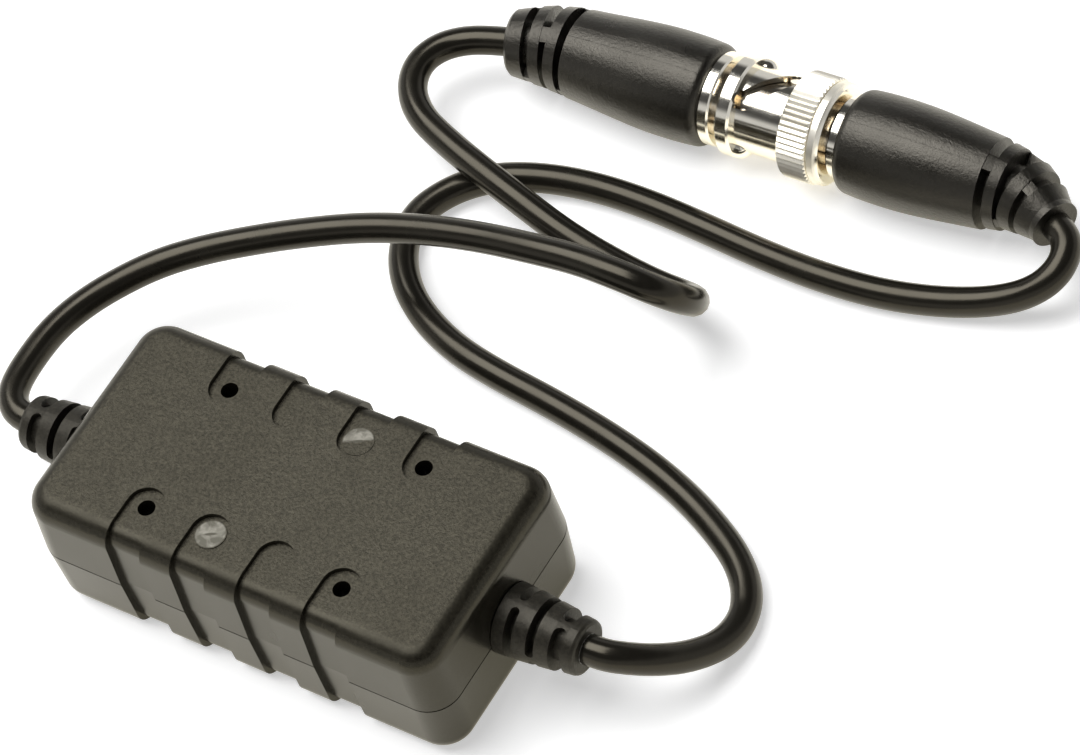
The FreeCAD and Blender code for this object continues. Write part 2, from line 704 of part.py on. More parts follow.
def boot(body_l, mould, turn, roll, steps):
    """A moulded boot about X from its front face, hollow for the metal, with a slotted tail."""
    rows = tail_rows(*mould)
    length = body_l + rows[-1][2]
    shoulder = BOOT_SHOULDER
    top = BOOT_SHOULDER_R
    curve = Part.BSplineCurve()
    stations = [V(shoulder, 0, top), V(BOOT_MAX_AT, 0, BOOT_MAX_R), V(BOOT_WAIST_AT, 0, BOOT_WAIST_R),
                V(body_l, 0, BOOT_TAIL_R)]
    level_at_the_middle = [False, True, False, False]
    curve.interpolate(Points=stations, Tangents=[AXIS_X] * len(stations), TangentFlags=level_at_the_middle)
    rim = V(0, 0, BOOT_FRONT_R - shoulder / 2)
    nose = Part.Arc(rim, V(0.3 * shoulder, 0, top - 0.3 * shoulder), V(shoulder, 0, top))
    lines = [Part.makeLine(V(0, 0, 0), rim), nose.toShape(), curve.toShape()]
    lines.append(Part.makeLine(V(body_l, 0, BOOT_TAIL_R), V(body_l, 0, 0)))
    lines.append(Part.makeLine(V(body_l, 0, 0), V(0, 0, 0)))
    body = Part.Face(Part.Wire(lines)).revolve(V(0, 0, 0), AXIS_X, 360)
    corner, _, _, _, end = boot_route(length, turn)
    pieces = [tube([(body_l - CORE_BITE, 0, 0), (corner, 0, 0), (end.x, end.y, 0)], BOOT_CORE_R)]
    for order, (kind, near, far, front, rear) in enumerate(rows):
        half_l = (far - near) / 2
        if kind == "slot":
            angle = roll + 90 * (order // 2 % 2)
            pieces += lands(length, turn, rows[order + 1], rows[order - 1], angle)
        elif kind != "body":
            edge = [(half_l - NOSE_RIM, rear + NOSE_RIM / 2), (half_l, rear - NOSE_RIM / 2)]
            level = turned([(-half_l, front)] + (edge if kind == "nose" else [(half_l, rear)]))
            level.Placement = tail_frame(length, turn, (near + far) / 2).multiply(level.Placement)
            pieces.append(level)
    solid = body.multiFuse(pieces)
    at = -1.0
    for depth, radius in steps:
        solid = solid.cut(Part.makeCylinder(radius + BOOT_GAP, depth - at, V(at, 0, 0), AXIS_X))
    return solid


def at_jack(shape):
    """Turn a boot so that it runs back from the jack's flange."""
    placed = shape.copy()
    placed.rotate(V(0, 0, 0), AXIS_Z, 180)
    return at_pair(placed)


def at_pair(shape):
    """Move a piece from the pair's own axis to its place."""
    placed = shape.copy()
    placed.Placement = PAIR.multiply(placed.Placement)
    return placed


def at_plug_boot(shape):
    """Move a boot to the end of the plug's collar."""
    placed = shape.copy()
    placed.translate(V(COLLAR_AT + COLLAR_L, 0, 0))
    return at_pair(placed)


# Jack

def jack_body():
    """Flange, bayonet barrel with two lugs, and crimp post, turned from one bar."""
    profile = [(-JACK_TAIL_L - POST_L, POST_R), (-JACK_TAIL_L, POST_R), (-JACK_TAIL_L, JACK_TAIL_R)]
    edge = TURNED_CHAMFER
    profile += [(0, JACK_TAIL_R), (0, JACK_FLANGE_R - edge), (edge, JACK_FLANGE_R)]
    profile += [(JACK_FLANGE_L - edge, JACK_FLANGE_R), (JACK_FLANGE_L, JACK_FLANGE_R - edge)]
    profile += [(JACK_FLANGE_L, BARREL_R), (BARREL_END - BARREL_CHAMFER, BARREL_R)]
    profile += [(BARREL_END, BARREL_R - BARREL_CHAMFER)]
    solid = turned(profile)
    root = BARREL_BORE + LUG_BITE
    lugs = [radial(LUG_AT, LUG_ANGLE + k * 180, LUG_D / 2, root, LUG_TIP_R) for k in range(2)]
    solid = solid.multiFuse(lugs)
    solid = solid.cut(Part.makeCylinder(BARREL_BORE, BARREL_END, V(BARREL_FLOOR, 0, 0), AXIS_X))
    solid = solid.cut(Part.makeCylinder(JACK_INSULATOR_R + FIT, BARREL_END, V(0, 0, 0), AXIS_X))
    back = JACK_TAIL_L + POST_L + 1
    return solid.cut(Part.makeCylinder(POST_BORE, back + 1, V(-back, 0, 0), AXIS_X))


def jack_insulator():
    """The jack's insulator, bored for the contact."""
    return ring(0, JACK_INSULATOR_END, CONTACT_R + FIT, JACK_INSULATOR_R)


def jack_contact():
    """The spring contact, bored for the pin."""
    solid = ring(CONTACT_BACK, CONTACT_END, 0, CONTACT_R)
    return solid.cut(ring(CONTACT_END - CONTACT_BORE_L, CONTACT_END + 1, 0, CONTACT_BORE))


def jack_ferrule():
    """The crimped sleeve over the post."""
    return ring(-JACK_TAIL_L - FERRULE_L, -JACK_TAIL_L - FIT, FERRULE_BORE, FERRULE_R)


def lead_a_tip():
    """The stripped end of the first lead inside the jack."""
    back = -JACK_TAIL_L - FERRULE_L
    strip = -JACK_TAIL_L - POST_L - STRIP_GAP
    steps = [(back, CORD_R), (strip, CORD_R), (strip, BRAID_R), (-STRIP_GAP, BRAID_R)]
    steps += [(-STRIP_GAP, CONDUCTOR_R), (CONTACT_BACK - FIT, CONDUCTOR_R)]
    return turned(steps)


# Plug and coupling nut

def stack():
    """Axial places of gasket, flange, washer and spring between barrel end and rear wall."""
    gasket = BARREL_END + GASKET_GAP
    flange = gasket + GASKET_T + STACK_GAP
    washer = flange + FLANGE_T + STACK_GAP
    spring = washer + WASHER_T + STACK_GAP
    return gasket, flange, washer, spring


def helical_slot():
    """One bayonet slot: entry, helix that climbs to the detent, and round ends."""
    width = LUG_D / 2 + SLOT_GAP
    inner = NUT_BORE - CUT_MARGIN / 2
    outer = LIP_R + CUT_MARGIN
    rise = -SLOT_TRAVEL
    slope = math.atan2(rise, math.radians(SLOT_TURN) * SKIRT_R)
    wires = []
    for k in range(SLOT_STATIONS + 1):
        share = k / SLOT_STATIONS
        angle = math.radians(LUG_ANGLE + SLOT_TURN * share)
        x = LUG_AT + rise * share
        out = V(0, math.cos(angle), math.sin(angle))
        round_y = V(0, -math.sin(angle), math.cos(angle))
        across = V(math.cos(slope), 0, 0) - round_y * math.sin(slope)
        corners = []
        for u, r in ((-1, inner), (1, inner), (1, outer), (-1, outer), (-1, inner)):
            corners.append(V(x, 0, 0) + out * r + across * (u * width))
        wires.append(Part.makePolygon(corners))
    tool = Part.makeLoft(wires, True, True)
    entry_x = LUG_AT - SLOT_TRAVEL
    entry = LUG_ANGLE + SLOT_TURN
    tool = tool.fuse(radial(LUG_AT, LUG_ANGLE, width, inner, outer))
    return tool.fuse(radial(entry_x, entry, width, inner, outer))


def entry_channel():
    """The way in under the lip that leads to the slot."""
    entry = LUG_ANGLE + SLOT_TURN
    width = LUG_D + 2 * SLOT_GAP
    front = NUT_AT - CUT_MARGIN
    long = LUG_AT - SLOT_TRAVEL - front
    box = Part.makeBox(long, ENTRY_R, width, V(front, 0, -width / 2))
    box.rotate(V(0, 0, 0), AXIS_X, entry)
    return box.common(ring(front, NUT_END, 0, ENTRY_R))


def knurl_band():
    """A straight knurl of V grooves, as one toothed prism."""
    points = []
    for k in range(2 * KNURL_TEETH):
        r = KNURL_R if k % 2 == 0 else KNURL_R - KNURL_DEPTH
        angle = math.pi * k / KNURL_TEETH
        points.append(V(SKIRT_END, r * math.cos(angle), r * math.sin(angle)))
    points.append(points[0])
    band = Part.Face(Part.makePolygon(points)).extrude(V(KNURL_END - SKIRT_END, 0, 0))
    rim = KNURL_DEPTH
    profile = [(SKIRT_END, KNURL_R - rim), (SKIRT_END + rim, KNURL_R + FIT)]
    profile += [(KNURL_END - rim, KNURL_R + FIT), (KNURL_END, KNURL_R - rim)]
    return band.common(turned(profile))


def coupling_nut():
    """Lip, slotted skirt, knurled grip and rear band, bored to run on the barrel."""
    lip_end = NUT_AT + LIP_L
    rim = LIP_CHAMFER
    step = SKIRT_END + SKIRT_LAP
    root = KNURL_R - KNURL_ROOT
    profile = [(NUT_AT, LIP_R - rim), (NUT_AT + rim, LIP_R), (lip_end - rim, LIP_R), (lip_end, LIP_R - rim)]
    profile += [(lip_end, SKIRT_R), (step, SKIRT_R), (step, root)]
    profile += [(KNURL_END, root), (KNURL_END, BAND_R - SKIRT_LAP), (KNURL_END + SKIRT_LAP, BAND_R)]
    profile += [(NUT_END - BAND_CHAMFER, BAND_R), (NUT_END, BAND_R - BAND_CHAMFER)]
    solid = turned(profile).fuse(knurl_band())
    entry = LUG_ANGLE + SLOT_TURN
    bumps = []
    for side in (90, -90):
        foot = V(lip_end - BUMP_BITE, LIP_R - BUMP_R, 0)
        straight = BUMP_L - BUMP_R / 2
        bump = Part.makeCylinder(BUMP_R, straight, foot, AXIS_X)
        bump = bump.fuse(Part.makeSphere(BUMP_R, foot + AXIS_X * straight))
        bump.rotate(V(0, 0, 0), AXIS_X, entry + side)
        bumps.append(bump)
    solid = solid.multiFuse(bumps)
    solid = solid.cut(ring(NUT_AT - CUT_MARGIN, NUT_END - NUT_REAR_WALL, 0, NUT_BORE))
    solid = solid.cut(ring(SKIRT_END, NUT_END - NUT_REAR_WALL, 0, NUT_CAVITY_R))
    solid = solid.cut(ring(NUT_AT, NUT_END + CUT_MARGIN, 0, NECK_R + NUT_RUN_GAP))
    for k in range(2):
        for tool in (helical_slot(), entry_channel()):
            tool.rotate(V(0, 0, 0), AXIS_X, 180 * k)
            solid = solid.cut(tool)
    return solid


def plug_body():
    """Contact sleeve, flange that the nut pulls on, neck and crimp post."""
    flange = stack()[1]
    rear = PLUG_INSULATOR_AT + PLUG_INSULATOR_L
    neck_end = COLLAR_AT + COLLAR_L + NECK_REACH
    profile = [(SLEEVE_TIP, SLEEVE_R - SLEEVE_EASE_R), (SLEEVE_TIP + SLEEVE_EASE_L, SLEEVE_R)]
    profile += [(flange, SLEEVE_R)]
    profile += [(flange, FLANGE_R), (flange + FLANGE_T, FLANGE_R), (flange + FLANGE_T, NECK_R)]
    profile += [(neck_end, NECK_R)]
    profile += [(neck_end, POST_R), (neck_end + POST_L, POST_R)]
    solid = turned(profile)
    solid = solid.cut(ring(SLEEVE_TIP - 1, rear, 0, SLEEVE_BORE))
    return solid.cut(ring(rear - 1, neck_end + POST_L + 1, 0, POST_BORE))


def plug_ferrule():
    """Collar that shows in front of the boot, and the crimped sleeve behind it."""
    neck_end = COLLAR_AT + COLLAR_L + NECK_REACH
    front = COLLAR_AT + COLLAR_L
    edge = TURNED_CHAMFER
    profile = [(COLLAR_AT, COLLAR_R - edge), (COLLAR_AT + edge, COLLAR_R), (front, COLLAR_R)]
    profile += [(front, COLLAR_TAIL_R), (front + COLLAR_TAIL_L, COLLAR_TAIL_R)]
    profile += [(front + COLLAR_TAIL_L, FERRULE_R), (neck_end + FERRULE_L, FERRULE_R)]
    solid = turned(profile)
    solid = solid.cut(ring(COLLAR_AT - 1, neck_end + FIT, 0, NECK_R + FIT))
    return solid.cut(ring(neck_end, neck_end + FERRULE_L + 1, 0, FERRULE_BORE))


def plug_gasket():
    """The seal that the barrel's end presses on."""
    at = stack()[0]
    return ring(at, at + GASKET_T, SLEEVE_R + FIT, GASKET_R)


def thrust_washer():
    """The flat washer behind the flange."""
    at = stack()[2]
    return ring(at, at + WASHER_T, NECK_R + NUT_RUN_GAP, WASHER_R)


def spring_ring():
    """The open spring ring that pulls the nut back."""
    at = stack()[3]
    return sector(at, at + SPRING_T, NECK_R + NUT_RUN_GAP, SPRING_R, 180 + LUG_ANGLE, 360 - SPRING_OPEN_ANGLE)


def plug_insulator():
    """The plug's insulator, with the pin through it."""
    rear = PLUG_INSULATOR_AT + PLUG_INSULATOR_L
    solid = ring(PLUG_INSULATOR_AT, rear, PIN_R + FIT, SLEEVE_BORE - FIT)
    return solid.cut(ring(PIN_SHANK_AT, rear + 1, 0, PIN_SHANK_R + FIT))


def plug_pin():
    """The centre pin with a rounded tip and a thicker shank."""
    step = PIN_SHANK_AT + FIT
    profile = [(PIN_TIP + along, radius) for along, radius in PIN_POINT]
    profile += [(step, PIN_R), (step, PIN_SHANK_R), (PIN_END, PIN_SHANK_R)]
    return turned(profile)


def lead_b_tip():
    """The stripped end of the second lead inside the plug."""
    neck_end = COLLAR_AT + COLLAR_L + NECK_REACH
    strip = neck_end + POST_L + STRIP_GAP
    steps = [(PIN_END + FIT, BRAID_R), (strip, BRAID_R), (strip, CORD_R), (neck_end + FERRULE_L, CORD_R)]
    return turned(steps)


# Leads

def tail_run_points(end_frame, run):
    """The last two route points, in line with a boot's tail."""
    direction = end_frame.Rotation.multVec(AXIS_X)
    end = end_frame.Base
    before = end + direction * run
    return [(before.x, before.y, before.z), (end.x, end.y, end.z)]


def jack_tail_end():
    """The rear end of the jack's boot, X pointing out of it."""
    turn_round = FreeCAD.Placement(V(0, 0, 0), FreeCAD.Rotation(AXIS_Z, 180))
    length = JACK_BODY_L + tail_rows(*JACK_MOULD)[-1][2]
    return PAIR.multiply(turn_round).multiply(tail_frame(length, JACK_BOOT_TURN, 0))


def plug_tail_end():
    """The rear end of the plug's boot, X pointing out of it."""
    shift = FreeCAD.Placement(V(COLLAR_AT + COLLAR_L, 0, 0), FreeCAD.Rotation())
    length = PLUG_BODY_L + tail_rows(*PLUG_MOULD)[-1][2]
    return PAIR.multiply(shift).multiply(tail_frame(length, -PLUG_BOOT_TURN, 0))


def lead(side, free, end_frame, run, report):
    """A free lead from the end face of a relief to the end face of a boot."""
    start = (side * (LENGTH / 2 + RELIEF_L), 0, SEAM_Z)
    points = [start] + free + tail_run_points(end_frame, run)
    print(report, "ends at", " ".join("(%.2f, %.2f, %.2f)" % p for p in points[-2:]))
    return tube(points, CORD_R, report)


# Nodes

save("top_shell", top_shell())
save("bottom_shell", bottom_shell())
save("screws", screws())
save("board", board())
save("transformer_core", transformer_core())
save("primary_winding", winding(180))
save("secondary_winding", winding(0))
save("capacitors", capacitors())
save("relief_left", place_on_box(relief(), -1))
save("relief_right", place_on_box(relief(), 1))
save("lead_a_end", place_on_box(lead_end(), -1))
save("lead_b_end", place_on_box(lead_end(), 1))

JACK_MOULD = (JACK_TAIL_SLOTS, JACK_TAIL_RINGS, JACK_NOSE)
PLUG_MOULD = (PLUG_TAIL_SLOTS, PLUG_TAIL_RINGS, PLUG_NOSE)
JACK_STEPS = [(JACK_TAIL_L, JACK_TAIL_R), (JACK_TAIL_L + FERRULE_L + FERRULE_GAP, FERRULE_R)]
PLUG_STEPS = [(COLLAR_TAIL_L, COLLAR_TAIL_R), (NECK_REACH + FERRULE_L + FERRULE_GAP, FERRULE_R)]
jack_boot = boot(JACK_BODY_L, JACK_MOULD, JACK_BOOT_TURN, -JACK_BOOT_ROLL, JACK_STEPS)
save("jack_boot", at_jack(jack_boot))
save("jack_body", at_pair(jack_body()))
save("jack_insulator", at_pair(jack_insulator()))
save("jack_contact", at_pair(jack_contact()))
save("jack_ferrule", at_pair(jack_ferrule()))
save("lead_a_tip", at_pair(lead_a_tip()))

plug_boot = boot(PLUG_BODY_L, PLUG_MOULD, -PLUG_BOOT_TURN, 90 + PLUG_BOOT_ROLL, PLUG_STEPS)
save("plug_boot", at_plug_boot(plug_boot))
save("plug_body", at_pair(plug_body()))
save("plug_ferrule", at_pair(plug_ferrule()))
save("plug_gasket", at_pair(plug_gasket()))
save("thrust_washer", at_pair(thrust_washer()))
save("spring_ring", at_pair(spring_ring()))
save("plug_insulator", at_pair(plug_insulator()))
save("plug_pin", at_pair(plug_pin()))
save("lead_b_tip", at_pair(lead_b_tip()))
save("coupling_nut", at_pair(coupling_nut()))

save("lead_a", lead(-1, LEAD_A_POINTS, jack_tail_end(), JACK_EXIT_RUN, "lead_a"))
save("lead_b", lead(1, LEAD_B_POINTS, plug_tail_end(), PLUG_EXIT_RUN, "lead_b"))
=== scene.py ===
# %% [markdown]
# This lesson dresses an in-line isolator for a video line: a small dark moulded box, a coax lead
# from each end, and a bayonet plug and jack that are coupled together on the table. Every rigid
# piece comes ready made from the CAD model. It could be modelled again by hand, but then it would
# no longer match the measured part, so it is only loaded here and given its finishes.

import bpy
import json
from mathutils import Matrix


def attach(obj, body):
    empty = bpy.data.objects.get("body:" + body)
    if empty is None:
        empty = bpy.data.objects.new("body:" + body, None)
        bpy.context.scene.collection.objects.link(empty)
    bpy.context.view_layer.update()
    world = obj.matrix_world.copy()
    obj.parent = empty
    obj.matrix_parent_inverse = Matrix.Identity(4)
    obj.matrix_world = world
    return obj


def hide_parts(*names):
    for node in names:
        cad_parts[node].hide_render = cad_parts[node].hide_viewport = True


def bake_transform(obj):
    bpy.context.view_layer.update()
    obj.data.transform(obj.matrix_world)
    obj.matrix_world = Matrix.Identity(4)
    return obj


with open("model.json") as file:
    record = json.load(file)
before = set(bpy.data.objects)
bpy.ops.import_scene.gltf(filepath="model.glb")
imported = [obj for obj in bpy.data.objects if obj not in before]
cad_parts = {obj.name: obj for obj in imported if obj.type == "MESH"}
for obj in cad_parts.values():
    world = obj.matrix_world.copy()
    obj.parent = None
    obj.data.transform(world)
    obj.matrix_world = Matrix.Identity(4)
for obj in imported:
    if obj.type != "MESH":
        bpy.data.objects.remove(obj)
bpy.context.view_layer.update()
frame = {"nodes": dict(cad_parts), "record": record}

# %% [markdown]
# Blender's own modules come next. Lengths are in metres, and the small box is easier to think of
# in millimetres, so one helper turns a point in millimetres into a vector in metres.

# %% Modules and the millimetre helper
import json
import math
import bpy
from mathutils import Matrix, Vector


def mm(x, y, z):
    """A point given in millimetres."""
    return Vector((x, y, z)) / 1000.0


# %% [markdown]
# The camera stands high in front of the box with a long lens, and it is rolled, so that the box
# lies on a slant in the picture. It could be aimed with a constraint. Its three axes are worked out
# instead, because the roll is then one plain number.

# %% Camera
CAMERA_AZIMUTH = math.radians(46.54)
CAMERA_ELEVATION = math.radians(52.85)
CAMERA_ROLL = math.radians(-18.96)
CAMERA_PLACE = Vector((0.302944, -0.240150, 0.532945))
CAMERA_LENS = 174.06

level_right = Vector((math.cos(CAMERA_AZIMUTH), math.sin(CAMERA_AZIMUTH), 0.0))
camera_back = Vector((
    math.sin(CAMERA_AZIMUTH) * math.cos(CAMERA_ELEVATION),
    -math.cos(CAMERA_AZIMUTH) * math.cos(CAMERA_ELEVATION),
    math.sin(CAMERA_ELEVATION),
))
level_up = camera_back.cross(level_right)
camera_right = math.cos(CAMERA_ROLL) * level_right + math.sin(CAMERA_ROLL) * level_up
camera_up = camera_back.cross(camera_right)

camera_data = bpy.data.cameras.new("camera")
camera_data.sensor_width = 36.0
camera_data.lens = CAMERA_LENS
camera_data.clip_start = 0.01
camera = bpy.data.objects.new("camera", camera_data)
bpy.context.scene.collection.objects.link(camera)
turn = Matrix((camera_right, camera_up, camera_back)).transposed().to_4x4()
camera.matrix_world = Matrix.Translation(CAMERA_PLACE) @ turn
bpy.context.scene.camera = camera
print("camera at", [round(v, 3) for v in CAMERA_PLACE])

# %% [markdown]
# Each lead is four millimetres of coax with a smooth black jacket. A chain of short cylinders would
# show its joints, so each lead is one smooth NURBS line whose control points are the points that the
# CAD route turns at, with a round section swept along it.

# %% Routes of the two leads, in millimetres
LEAD_R = 0.002
LEAD_A_ROUTE = [
    (-42.0, 0.0, 10.5), (-44.0, 0.0, 10.5), (-45.8, 0.85, 10.5), (-47.1, 2.4, 10.5), (-47.9, 4.9, 10.4),
    (-48.2, 8.8, 10.3), (-48.1, 13.0, 10.2), (-47.1, 17.3, 10.1), (-45.0, 21.9, 10.1),
    (-41.1, 27.4, 10.4), (-36.1, 31.5, 11.0), (-29.6, 35.1, 12.2), (-22.7, 38.4, 13.4),
    (-15.4, 41.3, 14.6), (-7.5, 43.2, 15.9), (0.6, 44.3, 17.2), (8.6, 44.6, 18.6),
    (15.6, 44.9, 19.5), (21.7, 44.7, 19.8), (26.6, 45.3, 18.3), (28.8, 47.8, 14.1),
    (27.4, 51.1, 9.0), (23.7, 53.4, 5.1), (18.2, 54.3, 3.6), (12.6, 55.1, 3.2),
    (7.4, 55.7, 3.6), (2.2, 56.4, 4.5), (-4.6, 58.0, 5.5), (-11.8, 59.8, 6.4),
    (-18.2, 61.8, 6.7), (-23.4, 63.9, 6.9), (-26.8, 67.1, 7.0), (-28.1, 71.0, 7.2),
    (-27.0, 74.5, 7.2), (-24.2, 77.0, 7.2), (-20.32, 78.54, 7.2), (-17.80, 79.19, 7.2),
]
LEAD_B_ROUTE = [
    (42.0, 0.0, 10.5), (44.0, 0.0, 10.5), (46.3, 0.9, 9.9), (49.1, 3.1, 8.0), (51.6, 6.5, 5.4),
    (53.4, 10.9, 3.1), (53.5, 15.5, 2.0), (51.7, 19.6, 2.0), (48.2, 23.0, 2.0),
    (43.2, 25.9, 2.0), (37.2, 28.6, 2.0), (30.2, 30.8, 2.0), (22.4, 32.5, 2.0),
    (14.0, 33.8, 2.0), (5.8, 34.7, 2.0), (-1.6, 36.0, 2.0), (-8.0, 38.5, 2.0),
    (-13.2, 42.1, 2.0), (-16.8, 46.8, 2.0), (-18.2, 52.4, 2.0), (-15.9, 57.8, 2.0),
    (-11.4, 62.0, 2.0), (-5.0, 64.5, 2.0), (2.4, 65.8, 2.0), (10.4, 66.0, 2.0),
    (19.0, 65.5, 2.0), (27.8, 64.8, 2.0), (36.3, 64.6, 2.0), (44.7, 65.2, 2.0),
    (51.9, 66.8, 2.1), (57.9, 68.7, 2.7), (62.2, 70.5, 3.85), (64.84, 72.3, 5.15),
    (66.1, 74.23, 6.15), (66.38, 76.16, 6.75), (65.88, 78.04, 7.1), (64.65, 79.55, 7.2),
    (62.90, 80.42, 7.2),
]
print("points of the routes", len(LEAD_A_ROUTE), len(LEAD_B_ROUTE))


# %% [markdown]
# A small maker turns a route into a curve object. The order of the spline is set after its points,
# because Blender otherwise keeps it at straight runs.

# %% Curve maker
def route_curve(name, route, radius):
    """A smooth NURBS curve with the route's points as control points."""
    data = bpy.data.curves.new(name, "CURVE")
    data.dimensions = "3D"
    data.resolution_u = 10
    data.bevel_depth = radius
    data.bevel_resolution = 5
    data.use_fill_caps = True
    data.twist_mode = "MINIMUM"
    spline = data.splines.new("NURBS")
    spline.points.add(len(route) - 1)
    for point, place in zip(spline.points, route):
        point.co = (*mm(*place), 1.0)
    spline.order_u = 3
    spline.use_endpoint_u = True
    piece = bpy.data.objects.new(name, data)
    bpy.context.scene.collection.objects.link(piece)
    return piece


def centre_line(name, route):
    """The points of the smooth line itself, read from a curve with no section."""
    bare = route_curve(name, route, 0.0)
    mesh = bpy.data.meshes.new_from_object(bare)
    points = [tuple(v.co) for v in mesh.vertices]
    bpy.data.objects.remove(bare)
    return points


def line_length(points):
    """Length of a line of points."""
    return sum((Vector(b) - Vector(a)).length for a, b in zip(points, points[1:]))


lead_a_line = centre_line("lead_a_line", LEAD_A_ROUTE)
lead_b_line = centre_line("lead_b_line", LEAD_B_ROUTE)
print("lead lengths", round(line_length(lead_a_line), 4), round(line_length(lead_b_line), 4))

# %% [markdown]
# Both curves are turned into meshes. The first lead runs from the box to the jack, which lies still,
# so it simply rides on the box. The second one ends at the plug. When the nut is turned the plug backs
# away, and the lead has to give; here its shape is only baked into its mesh where it lies.

# %% The two leads
JACKET_SMOOTH_BELOW = math.radians(40)


def lead_mesh(name, route):
    """The lead's curve as a smooth shaded mesh."""
    piece = route_curve(name, route, LEAD_R)
    bpy.ops.object.select_all(action="DESELECT")
    bpy.context.view_layer.objects.active = piece
    piece.select_set(True)
    bpy.ops.object.convert(target="MESH")
    bpy.ops.object.shade_smooth_by_angle(angle=JACKET_SMOOTH_BELOW)
    return bpy.context.view_layer.objects.active


lead_a = lead_mesh("first_lead", LEAD_A_ROUTE)
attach(lead_a, "housing")
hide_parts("lead_a")

lead_b = lead_mesh("second_lead", LEAD_B_ROUTE)
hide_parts("lead_b")
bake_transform(lead_b)
print("leads made", lead_a.name, lead_b.name, len(lead_b.data.polygons))

# %% [markdown]
# The table, the room and all finishes are built from nodes. Four short helpers keep that readable.
# They add a node with its settings, add a node that maps one range of values to another, link
# sockets, and make a group with named sockets.

# %% Node helpers
def add_node(tree, kind, settings=None, values=None):
    """A node with its settings, and its unlinked socket values by name or number."""
    node = tree.nodes.new(kind)
    for key, value in (settings or {}).items():
        setattr(node, key, value)
    for key, value in (values or {}).items():
        node.inputs[key].default_value = value
    return node


def add_map(tree, from_range, to_range=(0.0, 1.0)):
    """A node that maps one range of values to another."""
    return add_node(tree, "ShaderNodeMapRange", values={
        "From Min": from_range[0], "From Max": from_range[1],
        "To Min": to_range[0], "To Max": to_range[1],
    })


def join(tree, *pairs):
    """Links, each from an output socket to an input socket."""
    for source, target in pairs:
        tree.links.new(source, target)


def new_group(name, inputs, outputs):
    """A shader node group with named sockets, and its two end nodes."""
    group = bpy.data.node_groups.new(name, "ShaderNodeTree")
    for label, kind, value in inputs:
        socket = group.interface.new_socket(name=label, in_out="INPUT", socket_type=kind)
        if value is not None:
            socket.default_value = value
    for label, kind in outputs:
        group.interface.new_socket(name=label, in_out="OUTPUT", socket_type=kind)
    entry = group.nodes.new("NodeGroupInput")
    leave = group.nodes.new("NodeGroupOutput")
    return group, entry, leave


print("helpers", add_node.__name__, add_map.__name__, join.__name__, new_group.__name__)

# %% [markdown]
# The table is a wide pale sheet with matt paint. It belongs to the stage and not to the object, and
# it is wide enough that no view from the side sees its edge close by.

# %% Table
TABLE_SIZE = 6.0
TABLE_PAINT = (0.80, 0.80, 0.80, 1.0)

bpy.ops.object.select_all(action="DESELECT")
bpy.ops.mesh.primitive_plane_add(size=TABLE_SIZE, location=(0.0, 0.0, 0.0))
table = bpy.context.object
table.name = "table"
table_paint = bpy.data.materials.new("table_paint")
table_paint.use_nodes = True
table_tree = table_paint.node_tree
paint = table_tree.nodes["Principled BSDF"]
paint.inputs["Base Color"].default_value = TABLE_PAINT
paint.inputs["Roughness"].default_value = 0.7
paint.inputs["Specular IOR Level"].default_value = 0.2
table.data.materials.append(table_paint)
print("table", table.name, table.dimensions.x)

# %% [markdown]
# A soft glow, seen only by the camera and in reflections, lifts the table to white without adding
# light to the object, and the shadow still shows on it. The glow grows with the distance, where the
# lamp no longer reaches the table. In reflections it is a little warm, which gives the metal its
# cream tone.

# %% Glow of the table
GLOW_GROWS_FROM_TO = (0.35, 1.40)
NEAR_GLOW_MIRRORED_AND_SEEN = (0.56, 0.48)
GLOW_TINT_MIRRORED = (1.0, 0.93, 0.70, 1.0)
GLOW_TINT_SEEN = (1.0, 1.0, 1.0, 1.0)

ray = add_node(table_tree, "ShaderNodeLightPath")
mirrored = add_node(table_tree, "ShaderNodeMath", {"operation": "MAXIMUM"})
seen = add_node(table_tree, "ShaderNodeMath", {"operation": "MAXIMUM"})
table_place = add_node(table_tree, "ShaderNodeTexCoord")
table_away = add_node(table_tree, "ShaderNodeVectorMath", {"operation": "LENGTH"})
far_glow = add_map(table_tree, GLOW_GROWS_FROM_TO)
near_glow = add_map(table_tree, (0.0, 1.0), NEAR_GLOW_MIRRORED_AND_SEEN)
level = add_node(table_tree, "ShaderNodeMath", {"operation": "MAXIMUM"})
glow = add_node(table_tree, "ShaderNodeMath", {"operation": "MULTIPLY"})
hue = add_node(table_tree, "ShaderNodeMix", {"data_type": "RGBA"},
               {"A": GLOW_TINT_MIRRORED, "B": GLOW_TINT_SEEN})
join(table_tree,
     (ray.outputs["Is Glossy Ray"], mirrored.inputs[0]),
     (ray.outputs["Is Transmission Ray"], mirrored.inputs[1]),
     (ray.outputs["Is Camera Ray"], seen.inputs[0]),
     (mirrored.outputs[0], seen.inputs[1]),
     (table_place.outputs["Object"], table_away.inputs[0]),
     (table_away.outputs["Value"], far_glow.inputs["Value"]),
     (ray.outputs["Is Camera Ray"], near_glow.inputs["Value"]),
     (far_glow.outputs["Result"], level.inputs[0]),
     (near_glow.outputs["Result"], level.inputs[1]),
     (seen.outputs[0], glow.inputs[0]),
     (level.outputs[0], glow.inputs[1]),
     (glow.outputs[0], paint.inputs["Emission Strength"]),
     (ray.outputs["Is Camera Ray"], hue.inputs["Factor"]),
     (hue.outputs["Result"], paint.inputs["Emission Color"]))
print("glow of", table_paint.name, "nodes", len(table_tree.nodes))

# %% [markdown]
# One broad soft light hangs high over the left of the picture. A fill light from the front would
# wash the metal out.

# %% Lamp
LAMP_PLACE = Vector((-0.50, -0.02, 1.12))
LAMP_AIM = Vector((-0.36, 0.0, 0.0))
LAMP_SIZE = (1.0, 1.08)
LAMP_WATTS = 18.0

